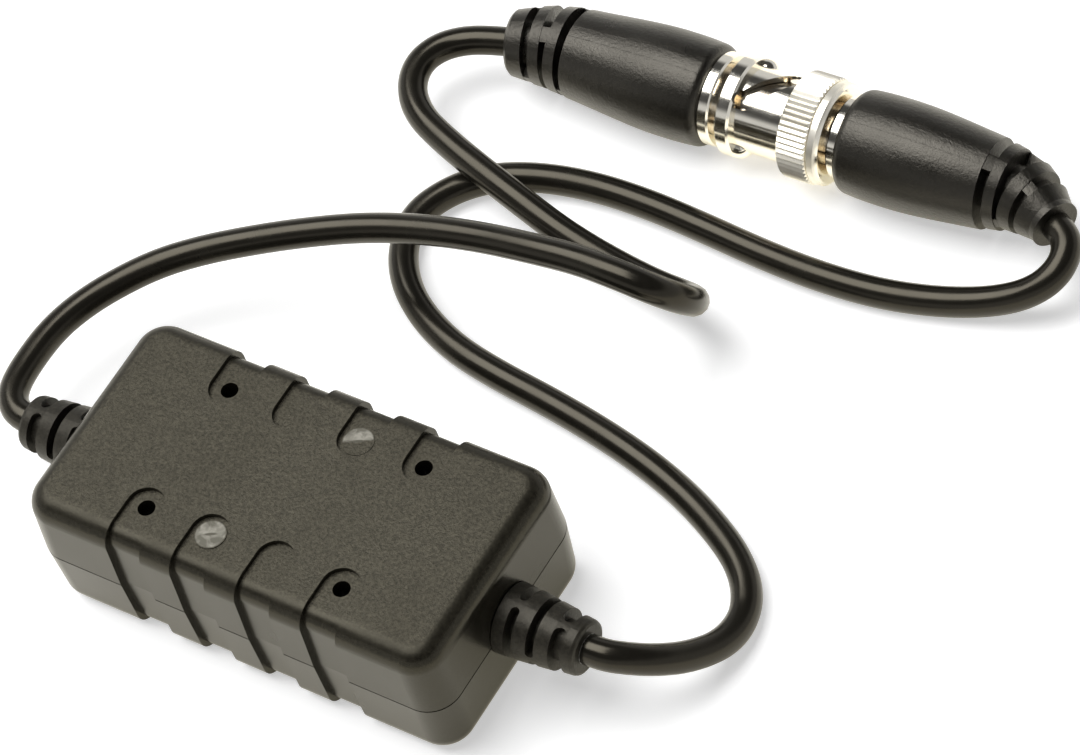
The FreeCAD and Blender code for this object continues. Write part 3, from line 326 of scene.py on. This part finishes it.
lamp_data = bpy.data.lights.new("overhead", "AREA")
lamp_data.shape = "RECTANGLE"
lamp_data.size = LAMP_SIZE[0]
lamp_data.size_y = LAMP_SIZE[1]
lamp_data.energy = LAMP_WATTS
lamp = bpy.data.objects.new("overhead", lamp_data)
bpy.context.scene.collection.objects.link(lamp)
lamp.location = LAMP_PLACE
lamp.rotation_euler = (LAMP_AIM - LAMP_PLACE).to_track_quat("-Z", "Y").to_euler()
print("lamp", lamp.name, LAMP_WATTS, "watts")

# %% [markdown]
# The room is pale near the horizon and dim above it, because bright nickel has nothing of its own to
# show: it needs a pale table below, a pale light above and something darker between them. The height
# of a direction is its Z, from 0 at the horizon to 1 straight up. The camera itself sees a white room.

# %% Room
ROOM_FALLS_FROM_TO = (0.40, 0.55)
ROOM_LOW_AND_HIGH = (0.60, 0.05)

world = bpy.data.worlds.new("dim_room")
bpy.context.scene.world = world
world.use_nodes = True
room_tree = world.node_tree
room = room_tree.nodes["Background"]
room.inputs["Color"].default_value = (1.0, 1.0, 1.0, 1.0)
room_ray = add_node(room_tree, "ShaderNodeLightPath")
room_way = add_node(room_tree, "ShaderNodeTexCoord")
room_split = add_node(room_tree, "ShaderNodeSeparateXYZ")
room_fall = add_map(room_tree, ROOM_FALLS_FROM_TO, ROOM_LOW_AND_HIGH)
room_light = add_node(room_tree, "ShaderNodeMath", {"operation": "MAXIMUM"})
join(room_tree,
     (room_way.outputs["Generated"], room_split.inputs[0]),
     (room_split.outputs["Z"], room_fall.inputs["Value"]),
     (room_fall.outputs["Result"], room_light.inputs[0]),
     (room_ray.outputs["Is Camera Ray"], room_light.inputs[1]),
     (room_light.outputs[0], room.inputs["Strength"]))
bpy.context.scene.view_settings.view_transform = "Standard"
print("world", world.name)

# %% [markdown]
# The mould of the box was spark eroded, which leaves a skin of tiny hard grains. Two sizes of noise
# stand for it: one for the grains, and a broader one that makes patches slightly duller. The same
# group serves the softer skin of the boots and the reliefs with other numbers.

# %% Grain group
grain_group, grain_in, grain_out = new_group(
    "moulded_grain",
    [("Size", "NodeSocketFloat", 2400.0), ("Patch", "NodeSocketFloat", 120.0)],
    [("Height", "NodeSocketFloat"), ("Speckle", "NodeSocketFloat"), ("Patches", "NodeSocketFloat")],
)
grain_place = add_node(grain_group, "ShaderNodeTexCoord")
grain_fine = add_node(grain_group, "ShaderNodeTexNoise", values={"Detail": 4.0, "Roughness": 0.72})
grain_soft = add_node(grain_group, "ShaderNodeTexNoise", values={"Detail": 2.0, "Roughness": 0.5})
grain_spots = add_map(grain_group, (0.38, 0.68))
join(grain_group,
     (grain_place.outputs["Object"], grain_fine.inputs["Vector"]),
     (grain_place.outputs["Object"], grain_soft.inputs["Vector"]),
     (grain_in.outputs["Size"], grain_fine.inputs["Scale"]),
     (grain_in.outputs["Patch"], grain_soft.inputs["Scale"]),
     (grain_fine.outputs["Fac"], grain_spots.inputs["Value"]),
     (grain_fine.outputs["Fac"], grain_out.inputs["Height"]),
     (grain_spots.outputs["Result"], grain_out.inputs["Speckle"]),
     (grain_soft.outputs["Fac"], grain_out.inputs["Patches"]))
print("group", grain_group.name)

# %% [markdown]
# The runner of the mould was cut off at two round gates on top of the box. Each shows as a smoother,
# paler disc with a short slanting scar. A group makes both masks from the gate's place, so that the
# same few nodes serve both discs. It also gives the distance across the scar, because on the back disc
# the pale skin stops there, and the other half of that disc is left dark as painted shade.

# %% Gate group
GATE_RADIUS = 0.00195
GATE_EDGE = (-0.0001, 0.0001)
SCAR_TURN = math.radians(-28)
SCAR_SQUEEZE = (1.0, 4.2, 0.0)
SCAR_EDGE = (0.0011, 0.0006)

gate_group, gate_in, gate_out = new_group(
    "gate_mark",
    [("Place", "NodeSocketVector", None), ("Radius", "NodeSocketFloat", GATE_RADIUS)],
    [("Disc", "NodeSocketFloat"), ("Scar", "NodeSocketFloat"), ("Across", "NodeSocketFloat")],
)
gate_place = add_node(gate_group, "ShaderNodeTexCoord")
gate_move = add_node(gate_group, "ShaderNodeVectorMath", {"operation": "SUBTRACT"})
gate_away = add_node(gate_group, "ShaderNodeVectorMath", {"operation": "LENGTH"})
gate_edge = add_node(gate_group, "ShaderNodeMath", {"operation": "SUBTRACT"})
gate_disc = add_map(gate_group, GATE_EDGE)
gate_turn = add_node(gate_group, "ShaderNodeMapping", {"vector_type": "POINT"},
                     {"Rotation": (0.0, 0.0, SCAR_TURN)})
gate_flat = add_node(gate_group, "ShaderNodeVectorMath", {"operation": "MULTIPLY"}, {1: SCAR_SQUEEZE})
gate_near = add_node(gate_group, "ShaderNodeVectorMath", {"operation": "LENGTH"})
gate_scar = add_map(gate_group, SCAR_EDGE)
gate_split = add_node(gate_group, "ShaderNodeSeparateXYZ")
join(gate_group,
     (gate_place.outputs["Object"], gate_move.inputs[0]),
     (gate_in.outputs["Place"], gate_move.inputs[1]),
     (gate_move.outputs[0], gate_away.inputs[0]),
     (gate_in.outputs["Radius"], gate_edge.inputs[0]),
     (gate_away.outputs["Value"], gate_edge.inputs[1]),
     (gate_edge.outputs[0], gate_disc.inputs["Value"]),
     (gate_move.outputs[0], gate_turn.inputs["Vector"]),
     (gate_turn.outputs["Vector"], gate_flat.inputs[0]),
     (gate_flat.outputs[0], gate_near.inputs[0]),
     (gate_near.outputs["Value"], gate_scar.inputs["Value"]),
     (gate_turn.outputs["Vector"], gate_split.inputs[0]),
     (gate_split.outputs["Y"], gate_out.inputs["Across"]),
     (gate_disc.outputs["Result"], gate_out.inputs["Disc"]),
     (gate_scar.outputs["Result"], gate_out.inputs["Scar"]))
print("group", gate_group.name)

# %% [markdown]
# All turned metal here shares one axis, the axis of the coupled pair. A third group measures the
# distance along that axis and the radius round it, which turning marks, the brown towards small radii
# and the boots' mould lines all need.

# %% Pair axis group
PAIR_CENTRE = mm(12.6, 81.7, 7.2)
PAIR_YAW = math.radians(2.1)

axis_group, _, axis_out = new_group(
    "pair_axis", [],
    [("Along", "NodeSocketFloat"), ("Radius", "NodeSocketFloat"), ("Angle", "NodeSocketFloat"),
     ("Vector", "NodeSocketVector")],
)
axis_place = add_node(axis_group, "ShaderNodeTexCoord")
axis_move = add_node(axis_group, "ShaderNodeVectorMath", {"operation": "SUBTRACT"}, {1: PAIR_CENTRE})
axis_turn = add_node(axis_group, "ShaderNodeMapping", {"vector_type": "POINT"},
                     {"Rotation": (0.0, 0.0, -PAIR_YAW)})
axis_split = add_node(axis_group, "ShaderNodeSeparateXYZ")
axis_flat = add_node(axis_group, "ShaderNodeCombineXYZ")
axis_radius = add_node(axis_group, "ShaderNodeVectorMath", {"operation": "LENGTH"})
axis_angle = add_node(axis_group, "ShaderNodeMath", {"operation": "ARCTAN2"})
join(axis_group,
     (axis_place.outputs["Object"], axis_move.inputs[0]),
     (axis_move.outputs[0], axis_turn.inputs["Vector"]),
     (axis_turn.outputs["Vector"], axis_split.inputs[0]),
     (axis_split.outputs["Y"], axis_flat.inputs["Y"]),
     (axis_split.outputs["Z"], axis_flat.inputs["Z"]),
     (axis_flat.outputs[0], axis_radius.inputs[0]),
     (axis_split.outputs["Z"], axis_angle.inputs[0]),
     (axis_split.outputs["Y"], axis_angle.inputs[1]),
     (axis_split.outputs["X"], axis_out.inputs["Along"]),
     (axis_radius.outputs["Value"], axis_out.inputs["Radius"]),
     (axis_angle.outputs[0], axis_out.inputs["Angle"]),
     (axis_turn.outputs["Vector"], axis_out.inputs["Vector"]))
print("group", axis_group.name)

# %% [markdown]
# One maker covers every moulded plastic: a base colour with lighter specks on the tips of the grains,
# roughness that drifts from patch to patch, and a fine bump.

# %% Moulded plastic maker
NOISE_SPREAD = (0.3, 0.7)
COAT_ROUGHNESS = 0.25


def moulded_plastic(name, dark, light, size, patch, speck, roughness, depth, strength, coat=0.0):
    """A moulded finish. Returns the material, its tree, its shader and some of its nodes."""
    material = bpy.data.materials.new(name)
    material.use_nodes = True
    tree = material.node_tree
    shader = tree.nodes["Principled BSDF"]
    shader.inputs["Coat Weight"].default_value = coat
    shader.inputs["Coat Roughness"].default_value = COAT_ROUGHNESS
    grain = add_node(tree, "ShaderNodeGroup", {"node_tree": grain_group}, {"Size": size, "Patch": patch})
    tips = add_node(tree, "ShaderNodeMath", {"operation": "MULTIPLY"}, {1: speck})
    tint = add_node(tree, "ShaderNodeMix", {"data_type": "RGBA"}, {"A": (*dark, 1.0), "B": (*light, 1.0)})
    dull = add_map(tree, NOISE_SPREAD, roughness)
    bump = add_node(tree, "ShaderNodeBump", values={"Strength": strength, "Distance": depth})
    join(tree,
         (grain.outputs["Speckle"], tips.inputs[0]),
         (tips.outputs[0], tint.inputs["Factor"]),
         (tint.outputs["Result"], shader.inputs["Base Color"]),
         (grain.outputs["Patches"], dull.inputs["Value"]),
         (dull.outputs["Result"], shader.inputs["Roughness"]),
         (grain.outputs["Height"], bump.inputs["Height"]),
         (bump.outputs["Normal"], shader.inputs["Normal"]))
    parts = {"tint": tint, "bump": bump, "dull": dull, "tips": tips}
    return material, tree, shader, parts


print("maker", moulded_plastic.__name__)

# %% [markdown]
# The reliefs have a soft grain, and the jackets of the leads are nearly smooth. Both are almost black,
# and their shine is a little warm.

# %% Reliefs and jackets
relief_skin, _, relief_shader, _ = moulded_plastic(
    "relief_plastic", dark=(0.008, 0.0072, 0.0054), light=(0.040, 0.036, 0.027), size=1700.0,
    patch=250.0, speck=0.6, roughness=(0.36, 0.48), depth=0.00008, strength=0.6)
relief_shader.inputs["Specular Tint"].default_value = (1.0, 0.94, 0.80, 1.0)
relief_shader.inputs["Specular IOR Level"].default_value = 0.36
jacket_skin, _, jacket_shader, _ = moulded_plastic(
    "jacket_plastic", dark=(0.0085, 0.0077, 0.0060), light=(0.016, 0.0145, 0.0115), size=900.0,
    patch=180.0, speck=0.3, roughness=(0.20, 0.28), depth=0.00002, strength=0.15)
jacket_shader.inputs["Specular Tint"].default_value = (1.0, 0.91, 0.72, 1.0)
jacket_shader.inputs["Specular IOR Level"].default_value = 0.45
print("plastics", relief_skin.name, jacket_skin.name)

# %% [markdown]
# The same maker serves what lies inside: white insulators, the red epoxy of the capacitors, grey
# sintered ferrite, a red rubber gasket, the green mask of the board and the pale stripped ends of the
# coax. They can't be seen from outside, and they still get their own finishes, because the part may
# be taken apart.

# %% Inner plastics
insulator_skin, *_ = moulded_plastic(
    "white_insulator", dark=(0.80, 0.79, 0.75), light=(0.88, 0.87, 0.84), size=1500.0,
    patch=300.0, speck=0.4, roughness=(0.30, 0.40), depth=0.00001, strength=0.1)
capacitor_skin, *_ = moulded_plastic(
    "capacitor_epoxy", dark=(0.45, 0.06, 0.04), light=(0.55, 0.10, 0.07), size=1200.0,
    patch=300.0, speck=0.4, roughness=(0.20, 0.30), depth=0.00001, strength=0.15, coat=0.3)
ferrite_skin, *_ = moulded_plastic(
    "sintered_ferrite", dark=(0.055, 0.055, 0.060), light=(0.11, 0.11, 0.115), size=2600.0,
    patch=200.0, speck=0.5, roughness=(0.45, 0.60), depth=0.00003, strength=0.4)
gasket_skin, *_ = moulded_plastic(
    "gasket_rubber", dark=(0.26, 0.06, 0.045), light=(0.33, 0.09, 0.07), size=2400.0,
    patch=300.0, speck=0.4, roughness=(0.50, 0.62), depth=0.00002, strength=0.3)
board_mask, *_ = moulded_plastic(
    "board_solder_mask", dark=(0.020, 0.130, 0.055), light=(0.035, 0.170, 0.075), size=1800.0,
    patch=120.0, speck=0.5, roughness=(0.22, 0.32), depth=0.00002, strength=0.2, coat=0.4)
coax_core, *_ = moulded_plastic(
    "stripped_coax", dark=(0.62, 0.60, 0.55), light=(0.74, 0.72, 0.68), size=2600.0,
    patch=300.0, speck=0.5, roughness=(0.35, 0.48), depth=0.00004, strength=0.4)
print("inner plastics", insulator_skin.name, capacitor_skin.name, ferrite_skin.name,
      gasket_skin.name, board_mask.name, coax_core.name)

# %% [markdown]
# The grain of the box is strong on level faces and faint on the sides and round the edges, as it must
# be where a mould half is drawn off a grained wall, so masks by the face's direction set its depth and
# its pale specks. A third mask makes the sides smoother. The Z of the face's normal, from 0 on a side
# to 1 on top, drives all three.

# %% Box finish
LEVEL_FROM_TO = (0.95, 0.995)
ROUNDED_FROM_TO = (0.70, 0.94)
GRAIN_DEPTH_SIDE_AND_TOP = (0.14, 0.95)
SPECKS_SIDE_AND_TOP = (0.25, 1.0)
ROUGHNESS_SIDE_AND_TOP = (0.55, 1.0)

housing_skin, box_tree, box_shader, box_parts = moulded_plastic(
    "spark_grained_plastic", dark=(0.006, 0.0052, 0.0035), light=(0.064, 0.0575, 0.0410), size=2600.0,
    patch=75.0, speck=1.0, roughness=(0.36, 0.50), depth=0.00010, strength=0.7)
box_shader.inputs["Specular Tint"].default_value = (1.0, 0.93, 0.72, 1.0)
box_shader.inputs["Specular IOR Level"].default_value = 0.45
box_place = add_node(box_tree, "ShaderNodeTexCoord")
box_split = add_node(box_tree, "ShaderNodeSeparateXYZ")
box_depth = add_map(box_tree, LEVEL_FROM_TO, GRAIN_DEPTH_SIDE_AND_TOP)
box_specks = add_map(box_tree, LEVEL_FROM_TO, SPECKS_SIDE_AND_TOP)
box_sheen = add_map(box_tree, ROUNDED_FROM_TO, ROUGHNESS_SIDE_AND_TOP)
box_tips = add_node(box_tree, "ShaderNodeMath", {"operation": "MULTIPLY"})
box_dull = add_node(box_tree, "ShaderNodeMath", {"operation": "MULTIPLY"})
join(box_tree,
     (box_place.outputs["Normal"], box_split.inputs[0]),
     (box_split.outputs["Z"], box_depth.inputs["Value"]),
     (box_split.outputs["Z"], box_specks.inputs["Value"]),
     (box_split.outputs["Z"], box_sheen.inputs["Value"]),
     (box_parts["tips"].outputs[0], box_tips.inputs[0]),
     (box_specks.outputs["Result"], box_tips.inputs[1]),
     (box_tips.outputs[0], box_parts["tint"].inputs["Factor"]),
     (box_parts["dull"].outputs["Result"], box_dull.inputs[0]),
     (box_sheen.outputs["Result"], box_dull.inputs[1]),
     (box_dull.outputs[0], box_shader.inputs["Roughness"]))
print("box", housing_skin.name)

# %% [markdown]
# The two gates lie on top of the box. A coarse noise gives the skin where the runner broke off its pale
# streaks. It also makes the border ragged where the pale half of the back disc ends and its painted
# shade begins. The front disc has no painted shade, so its border is set far off it.

# %% Gate masks
GATES = (
    {"place": mm(-4.875, -9.6, 20.3), "torn_from": -0.01},
    {"place": mm(4.875, 9.6, 20.3), "torn_from": 0.0006},
)
# Past a ragged line across the scar, the back disc is left dark as painted shade.
SHADE_EDGE_RAGGED = 0.0014
SHADE_EDGE_BLUR = 0.0004

gate_noise = add_node(box_tree, "ShaderNodeTexNoise", values={"Scale": 750.0, "Detail": 2.0, "Distortion": 0.6})
any_disc = add_node(box_tree, "ShaderNodeMath", {"operation": "MAXIMUM"})
any_scar_and_shade_line = add_node(box_tree, "ShaderNodeMath", {"operation": "MAXIMUM"})
join(box_tree, (box_place.outputs["Object"], gate_noise.inputs["Vector"]))
for k, row in enumerate(GATES):
    gate = add_node(box_tree, "ShaderNodeGroup", {"node_tree": gate_group}, {"Place": row["place"]})
    ragged_shade_edge = add_node(box_tree, "ShaderNodeMath", {"operation": "MULTIPLY_ADD"}, {1: SHADE_EDGE_RAGGED})
    # The disc is pale only on one side of this border. On the back disc the other side is painted shade.
    unshaded_part = add_map(box_tree, (row["torn_from"], row["torn_from"] + SHADE_EDGE_BLUR))
    pale_part = add_node(box_tree, "ShaderNodeMath", {"operation": "MULTIPLY"})
    join(box_tree,
         (gate_noise.outputs["Fac"], ragged_shade_edge.inputs[0]),
         (gate.outputs["Across"], ragged_shade_edge.inputs[2]),
         (ragged_shade_edge.outputs[0], unshaded_part.inputs["Value"]),
         (unshaded_part.outputs["Result"], pale_part.inputs[0]),
         (gate.outputs["Disc"], pale_part.inputs[1]),
         (pale_part.outputs[0], any_disc.inputs[k]),
         (gate.outputs["Scar"], any_scar_and_shade_line.inputs[k]))
print("gates", len(GATES))

# %% [markdown]
# The masks then lay the pale skin and the darker scar over the box's colour, and make the grain
# shallower on the pale parts of the discs. On the back disc the scar runs along the edge of the painted
# shade, so there its darker line is painted shade as well.

# %% Gate finish
TORN_DARK = (0.100, 0.097, 0.082, 1.0)
TORN_PALE = (0.300, 0.290, 0.255, 1.0)
TORN_SPREAD = (0.38, 0.66)
# On the back disc this darker line is painted shade along the edge of the pale half.
SCAR_AND_SHADE_LINE_TINT = (0.060, 0.057, 0.047, 1.0)
GRAIN_OFF_AND_ON_DISC = (1.0, 0.25)

torn_spread = add_map(box_tree, TORN_SPREAD)
torn_tint = add_node(box_tree, "ShaderNodeMix", {"data_type": "RGBA"}, {"A": TORN_DARK, "B": TORN_PALE})
pale_disc = add_node(box_tree, "ShaderNodeMix", {"data_type": "RGBA"})
scar_and_shade_line = add_node(box_tree, "ShaderNodeMix", {"data_type": "RGBA"}, {"B": SCAR_AND_SHADE_LINE_TINT})
flat_disc = add_map(box_tree, (0.0, 1.0), GRAIN_OFF_AND_ON_DISC)
grain_depth = add_node(box_tree, "ShaderNodeMath", {"operation": "MULTIPLY"})
join(box_tree,
     (gate_noise.outputs["Fac"], torn_spread.inputs["Value"]),
     (torn_spread.outputs["Result"], torn_tint.inputs["Factor"]),
     (box_parts["tint"].outputs["Result"], pale_disc.inputs["A"]),
     (torn_tint.outputs["Result"], pale_disc.inputs["B"]),
     (any_disc.outputs[0], pale_disc.inputs["Factor"]),
     (pale_disc.outputs["Result"], scar_and_shade_line.inputs["A"]),
     (any_scar_and_shade_line.outputs[0], scar_and_shade_line.inputs["Factor"]),
     (scar_and_shade_line.outputs["Result"], box_shader.inputs["Base Color"]),
     (any_disc.outputs[0], flat_disc.inputs["Value"]),
     (box_depth.outputs["Result"], grain_depth.inputs[0]),
     (flat_disc.outputs["Result"], grain_depth.inputs[1]),
     (grain_depth.outputs[0], box_parts["bump"].inputs["Strength"]))
print("nodes of the box", len(box_tree.nodes))

# %% [markdown]
# The boots were moulded over the metal in a tool of two halves. Each has a hair-fine line where the
# halves met, and faint streaks along it where the warm plastic flowed. Both follow the pair's axis.

# %% Boot finish
FLOW_STRETCH = (0.12, 1.0, 1.0)
MOULD_LINE_ANGLE = 1.84
MOULD_LINE_EDGE = (0.0, 0.022)
MOULD_LINE_MIDDLE = 0.0096
MOULD_LINE_REACH = 0.0300
SKIN_RELIEF = 0.00006

boot_skin, boot_tree, boot_shader, boot_parts = moulded_plastic(
    "boot_plastic", dark=(0.0018, 0.0016, 0.0011), light=(0.009, 0.0078, 0.0054), size=2000.0,
    patch=160.0, speck=0.7, roughness=(0.27, 0.37), depth=0.00008, strength=0.8)
boot_shader.inputs["Specular Tint"].default_value = (1.0, 0.94, 0.82, 1.0)
boot_shader.inputs["Specular IOR Level"].default_value = 0.72
boot_axis = add_node(boot_tree, "ShaderNodeGroup", {"node_tree": axis_group})
boot_stretch = add_node(boot_tree, "ShaderNodeVectorMath", {"operation": "MULTIPLY"}, {1: FLOW_STRETCH})
boot_flow = add_node(boot_tree, "ShaderNodeTexNoise", values={"Scale": 700.0, "Detail": 3.0})
boot_line = add_node(boot_tree, "ShaderNodeMath", {"operation": "SUBTRACT"}, {1: MOULD_LINE_ANGLE})
boot_near = add_node(boot_tree, "ShaderNodeMath", {"operation": "ABSOLUTE"})
boot_ridge = add_map(boot_tree, MOULD_LINE_EDGE, (1.0, 0.0))
boot_body = add_node(boot_tree, "ShaderNodeMath", {"operation": "COMPARE"},
                     {1: MOULD_LINE_MIDDLE, 2: MOULD_LINE_REACH})
boot_seam = add_node(boot_tree, "ShaderNodeMath", {"operation": "MULTIPLY"})
boot_ripple = add_node(boot_tree, "ShaderNodeBump", values={"Strength": 0.16, "Distance": SKIN_RELIEF})
boot_step = add_node(boot_tree, "ShaderNodeBump", values={"Strength": 0.3, "Distance": SKIN_RELIEF})
join(boot_tree,
     (boot_axis.outputs["Vector"], boot_stretch.inputs[0]),
     (boot_stretch.outputs[0], boot_flow.inputs["Vector"]),
     (boot_axis.outputs["Angle"], boot_line.inputs[0]),
     (boot_line.outputs[0], boot_near.inputs[0]),
     (boot_near.outputs[0], boot_ridge.inputs["Value"]),
     (boot_axis.outputs["Along"], boot_body.inputs[0]),
     (boot_ridge.outputs["Result"], boot_seam.inputs[0]),
     (boot_body.outputs[0], boot_seam.inputs[1]),
     (boot_flow.outputs["Fac"], boot_ripple.inputs["Height"]),
     (boot_parts["bump"].outputs["Normal"], boot_ripple.inputs["Normal"]),
     (boot_seam.outputs[0], boot_step.inputs["Height"]),
     (boot_ripple.outputs["Normal"], boot_step.inputs["Normal"]),
     (boot_step.outputs["Normal"], boot_shader.inputs["Normal"]))
print("boots", boot_skin.name)

# %% [markdown]
# The metal is brass with bright nickel on it. Plate on turned metal is smooth across and faintly
# ringed round, and its colour turns brown towards small radii, in the grooves, the slots and under the
# knurl. The crests of the nut's knurl are worn matt. The mask for them is where the radius is large
# and the place is along the nut.

# %% Knurl mask
KNURL_RADIUS_FROM_TO = (0.00655, 0.00695)
NUT_STARTS_FROM_TO = (0.0121, 0.0124)


def knurl_mask(tree, axis):
    """A mask of the nut's knurl, from the pair's axis."""
    rim = add_map(tree, KNURL_RADIUS_FROM_TO)
    past = add_map(tree, NUT_STARTS_FROM_TO)
    knurl = add_node(tree, "ShaderNodeMath", {"operation": "MULTIPLY"})
    join(tree,
         (axis.outputs["Radius"], rim.inputs["Value"]),
         (axis.outputs["Along"], past.inputs["Value"]),
         (rim.outputs["Result"], knurl.inputs[0]),
         (past.outputs["Result"], knurl.inputs[1]))
    return knurl.outputs[0]


print("mask", knurl_mask.__name__)

# %% [markdown]
# One maker then serves every turned metal. It takes the bright colour and the brown, the two radii
# between which the brown fades, the pitch of the turning rings and the span of roughness.

# %% Turned metal maker
SMALL_RADIUS_BROKEN = (0.35, 0.75)
RING_STRENGTH = 0.12
RING_RELIEF = 0.00003
KNURL_MATT = 0.30


def turned_metal(name, bright, small_radius_tint, small_radius_fades, ring_pitch, roughness):
    """Metal turned about the pair's axis, with turning rings, and brown towards small radii."""
    material = bpy.data.materials.new(name)
    material.use_nodes = True
    tree = material.node_tree
    shader = tree.nodes["Principled BSDF"]
    shader.inputs["Metallic"].default_value = 1.0
    axis = add_node(tree, "ShaderNodeGroup", {"node_tree": axis_group})
    cloud = add_node(tree, "ShaderNodeTexNoise", values={"Scale": 420.0, "Detail": 3.0})
    # Below the given radii, in the grooves, the slots and the inner faces, the colour turns brown.
    deep = add_map(tree, small_radius_fades, (1.0, 0.0))
    broken = add_map(tree, SMALL_RADIUS_BROKEN)
    mask = add_node(tree, "ShaderNodeMath", {"operation": "MULTIPLY"})
    tint = add_node(tree, "ShaderNodeMix", {"data_type": "RGBA"}, {"A": (*bright, 1.0), "B": (*small_radius_tint, 1.0)})
    rings = add_node(tree, "ShaderNodeTexNoise", {"noise_dimensions": "1D"},
                     {"Scale": 1.0 / ring_pitch, "Detail": 2.0})
    bump = add_node(tree, "ShaderNodeBump", values={"Strength": RING_STRENGTH, "Distance": RING_RELIEF})
    dull = add_map(tree, NOISE_SPREAD, roughness)
    matt = add_node(tree, "ShaderNodeMath", {"operation": "MULTIPLY_ADD"}, {1: KNURL_MATT})
    join(tree,
         (axis.outputs["Vector"], cloud.inputs["Vector"]),
         (axis.outputs["Radius"], deep.inputs["Value"]),
         (cloud.outputs["Fac"], broken.inputs["Value"]),
         (deep.outputs["Result"], mask.inputs[0]),
         (broken.outputs["Result"], mask.inputs[1]),
         (mask.outputs[0], tint.inputs["Factor"]),
         (tint.outputs["Result"], shader.inputs["Base Color"]),
         (axis.outputs["Along"], rings.inputs["W"]),
         (rings.outputs["Fac"], bump.inputs["Height"]),
         (bump.outputs["Normal"], shader.inputs["Normal"]),
         (cloud.outputs["Fac"], dull.inputs["Value"]),
         (knurl_mask(tree, axis), matt.inputs[0]),
         (dull.outputs["Result"], matt.inputs[2]),
         (matt.outputs[0], shader.inputs["Roughness"]))
    return material


print("maker", turned_metal.__name__)

# %% [markdown]
# Nickel is warm and nearly white. The jack's ferrule is tinned copper, the contacts have a flash of
# gold, and the spring ring is bronze.

# %% Turned metals
nickel = turned_metal(
    "bright_nickel", bright=(0.95, 0.91, 0.81), small_radius_tint=(0.42, 0.28, 0.13),
    small_radius_fades=(0.0046, 0.0057), ring_pitch=0.00018, roughness=(0.10, 0.18))
tinned = turned_metal(
    "tinned_copper", bright=(0.72, 0.70, 0.66), small_radius_tint=(0.45, 0.38, 0.30),
    small_radius_fades=(0.002, 0.0034), ring_pitch=0.0003, roughness=(0.28, 0.40))
gold = turned_metal(
    "gold_flash", bright=(0.90, 0.68, 0.30), small_radius_tint=(0.60, 0.40, 0.16),
    small_radius_fades=(0.0003, 0.0009), ring_pitch=0.0002, roughness=(0.16, 0.26))
bronze = turned_metal(
    "spring_bronze", bright=(0.78, 0.52, 0.28), small_radius_tint=(0.40, 0.24, 0.12),
    small_radius_fades=(0.004, 0.0054), ring_pitch=0.0002, roughness=(0.22, 0.34))
print("metals", nickel.name, tinned.name, gold.name, bronze.name)

# %% [markdown]
# The screws and the wire of the windings don't share the pair's axis, so a plainer maker gives them a
# cloudy tone.

# %% Screws and wire
def cloudy_metal(name, colour, deep, scale, roughness):
    """A metal with a cloudy tone, for the screws and the wire."""
    material = bpy.data.materials.new(name)
    material.use_nodes = True
    tree = material.node_tree
    shader = tree.nodes["Principled BSDF"]
    shader.inputs["Metallic"].default_value = 1.0
    place = add_node(tree, "ShaderNodeTexCoord")
    cloud = add_node(tree, "ShaderNodeTexNoise", values={"Scale": scale, "Detail": 3.0})
    tint = add_node(tree, "ShaderNodeMix", {"data_type": "RGBA"}, {"A": (*deep, 1.0), "B": (*colour, 1.0)})
    dull = add_map(tree, (0.0, 1.0), roughness)
    join(tree,
         (place.outputs["Object"], cloud.inputs["Vector"]),
         (cloud.outputs["Fac"], tint.inputs["Factor"]),
         (tint.outputs["Result"], shader.inputs["Base Color"]),
         (cloud.outputs["Fac"], dull.inputs["Value"]),
         (dull.outputs["Result"], shader.inputs["Roughness"]))
    return material


zinc = cloudy_metal(
    "zinc_plate", colour=(0.66, 0.67, 0.70), deep=(0.48, 0.48, 0.50), scale=900.0,
    roughness=(0.25, 0.45))
copper_wire = cloudy_metal(
    "enamelled_copper", colour=(0.72, 0.34, 0.15), deep=(0.50, 0.20, 0.08), scale=1400.0,
    roughness=(0.18, 0.30))
print("screws and wire", zinc.name, copper_wire.name)

# %% [markdown]
# Each piece takes the finish of the slot that the record gives it.

# %% Put the finishes on
FINISHES = {
    "housing": housing_skin, "relief": relief_skin, "boot": boot_skin, "jacket": jacket_skin,
    "nickel": nickel, "ferrule": tinned, "contact": gold, "spring": bronze,
    "insulator": insulator_skin, "gasket": gasket_skin, "coax_end": coax_core, "board": board_mask,
    "ferrite": ferrite_skin, "copper": copper_wire, "capacitor": capacitor_skin, "screw_steel": zinc,
}
for row in frame["record"]["subparts"]:
    for slot in frame["nodes"][row["node"]].material_slots:
        slot.material = FINISHES[row["material_slot"]]
for lead in (lead_a, lead_b):
    lead.data.materials.clear()
    lead.data.materials.append(jacket_skin)
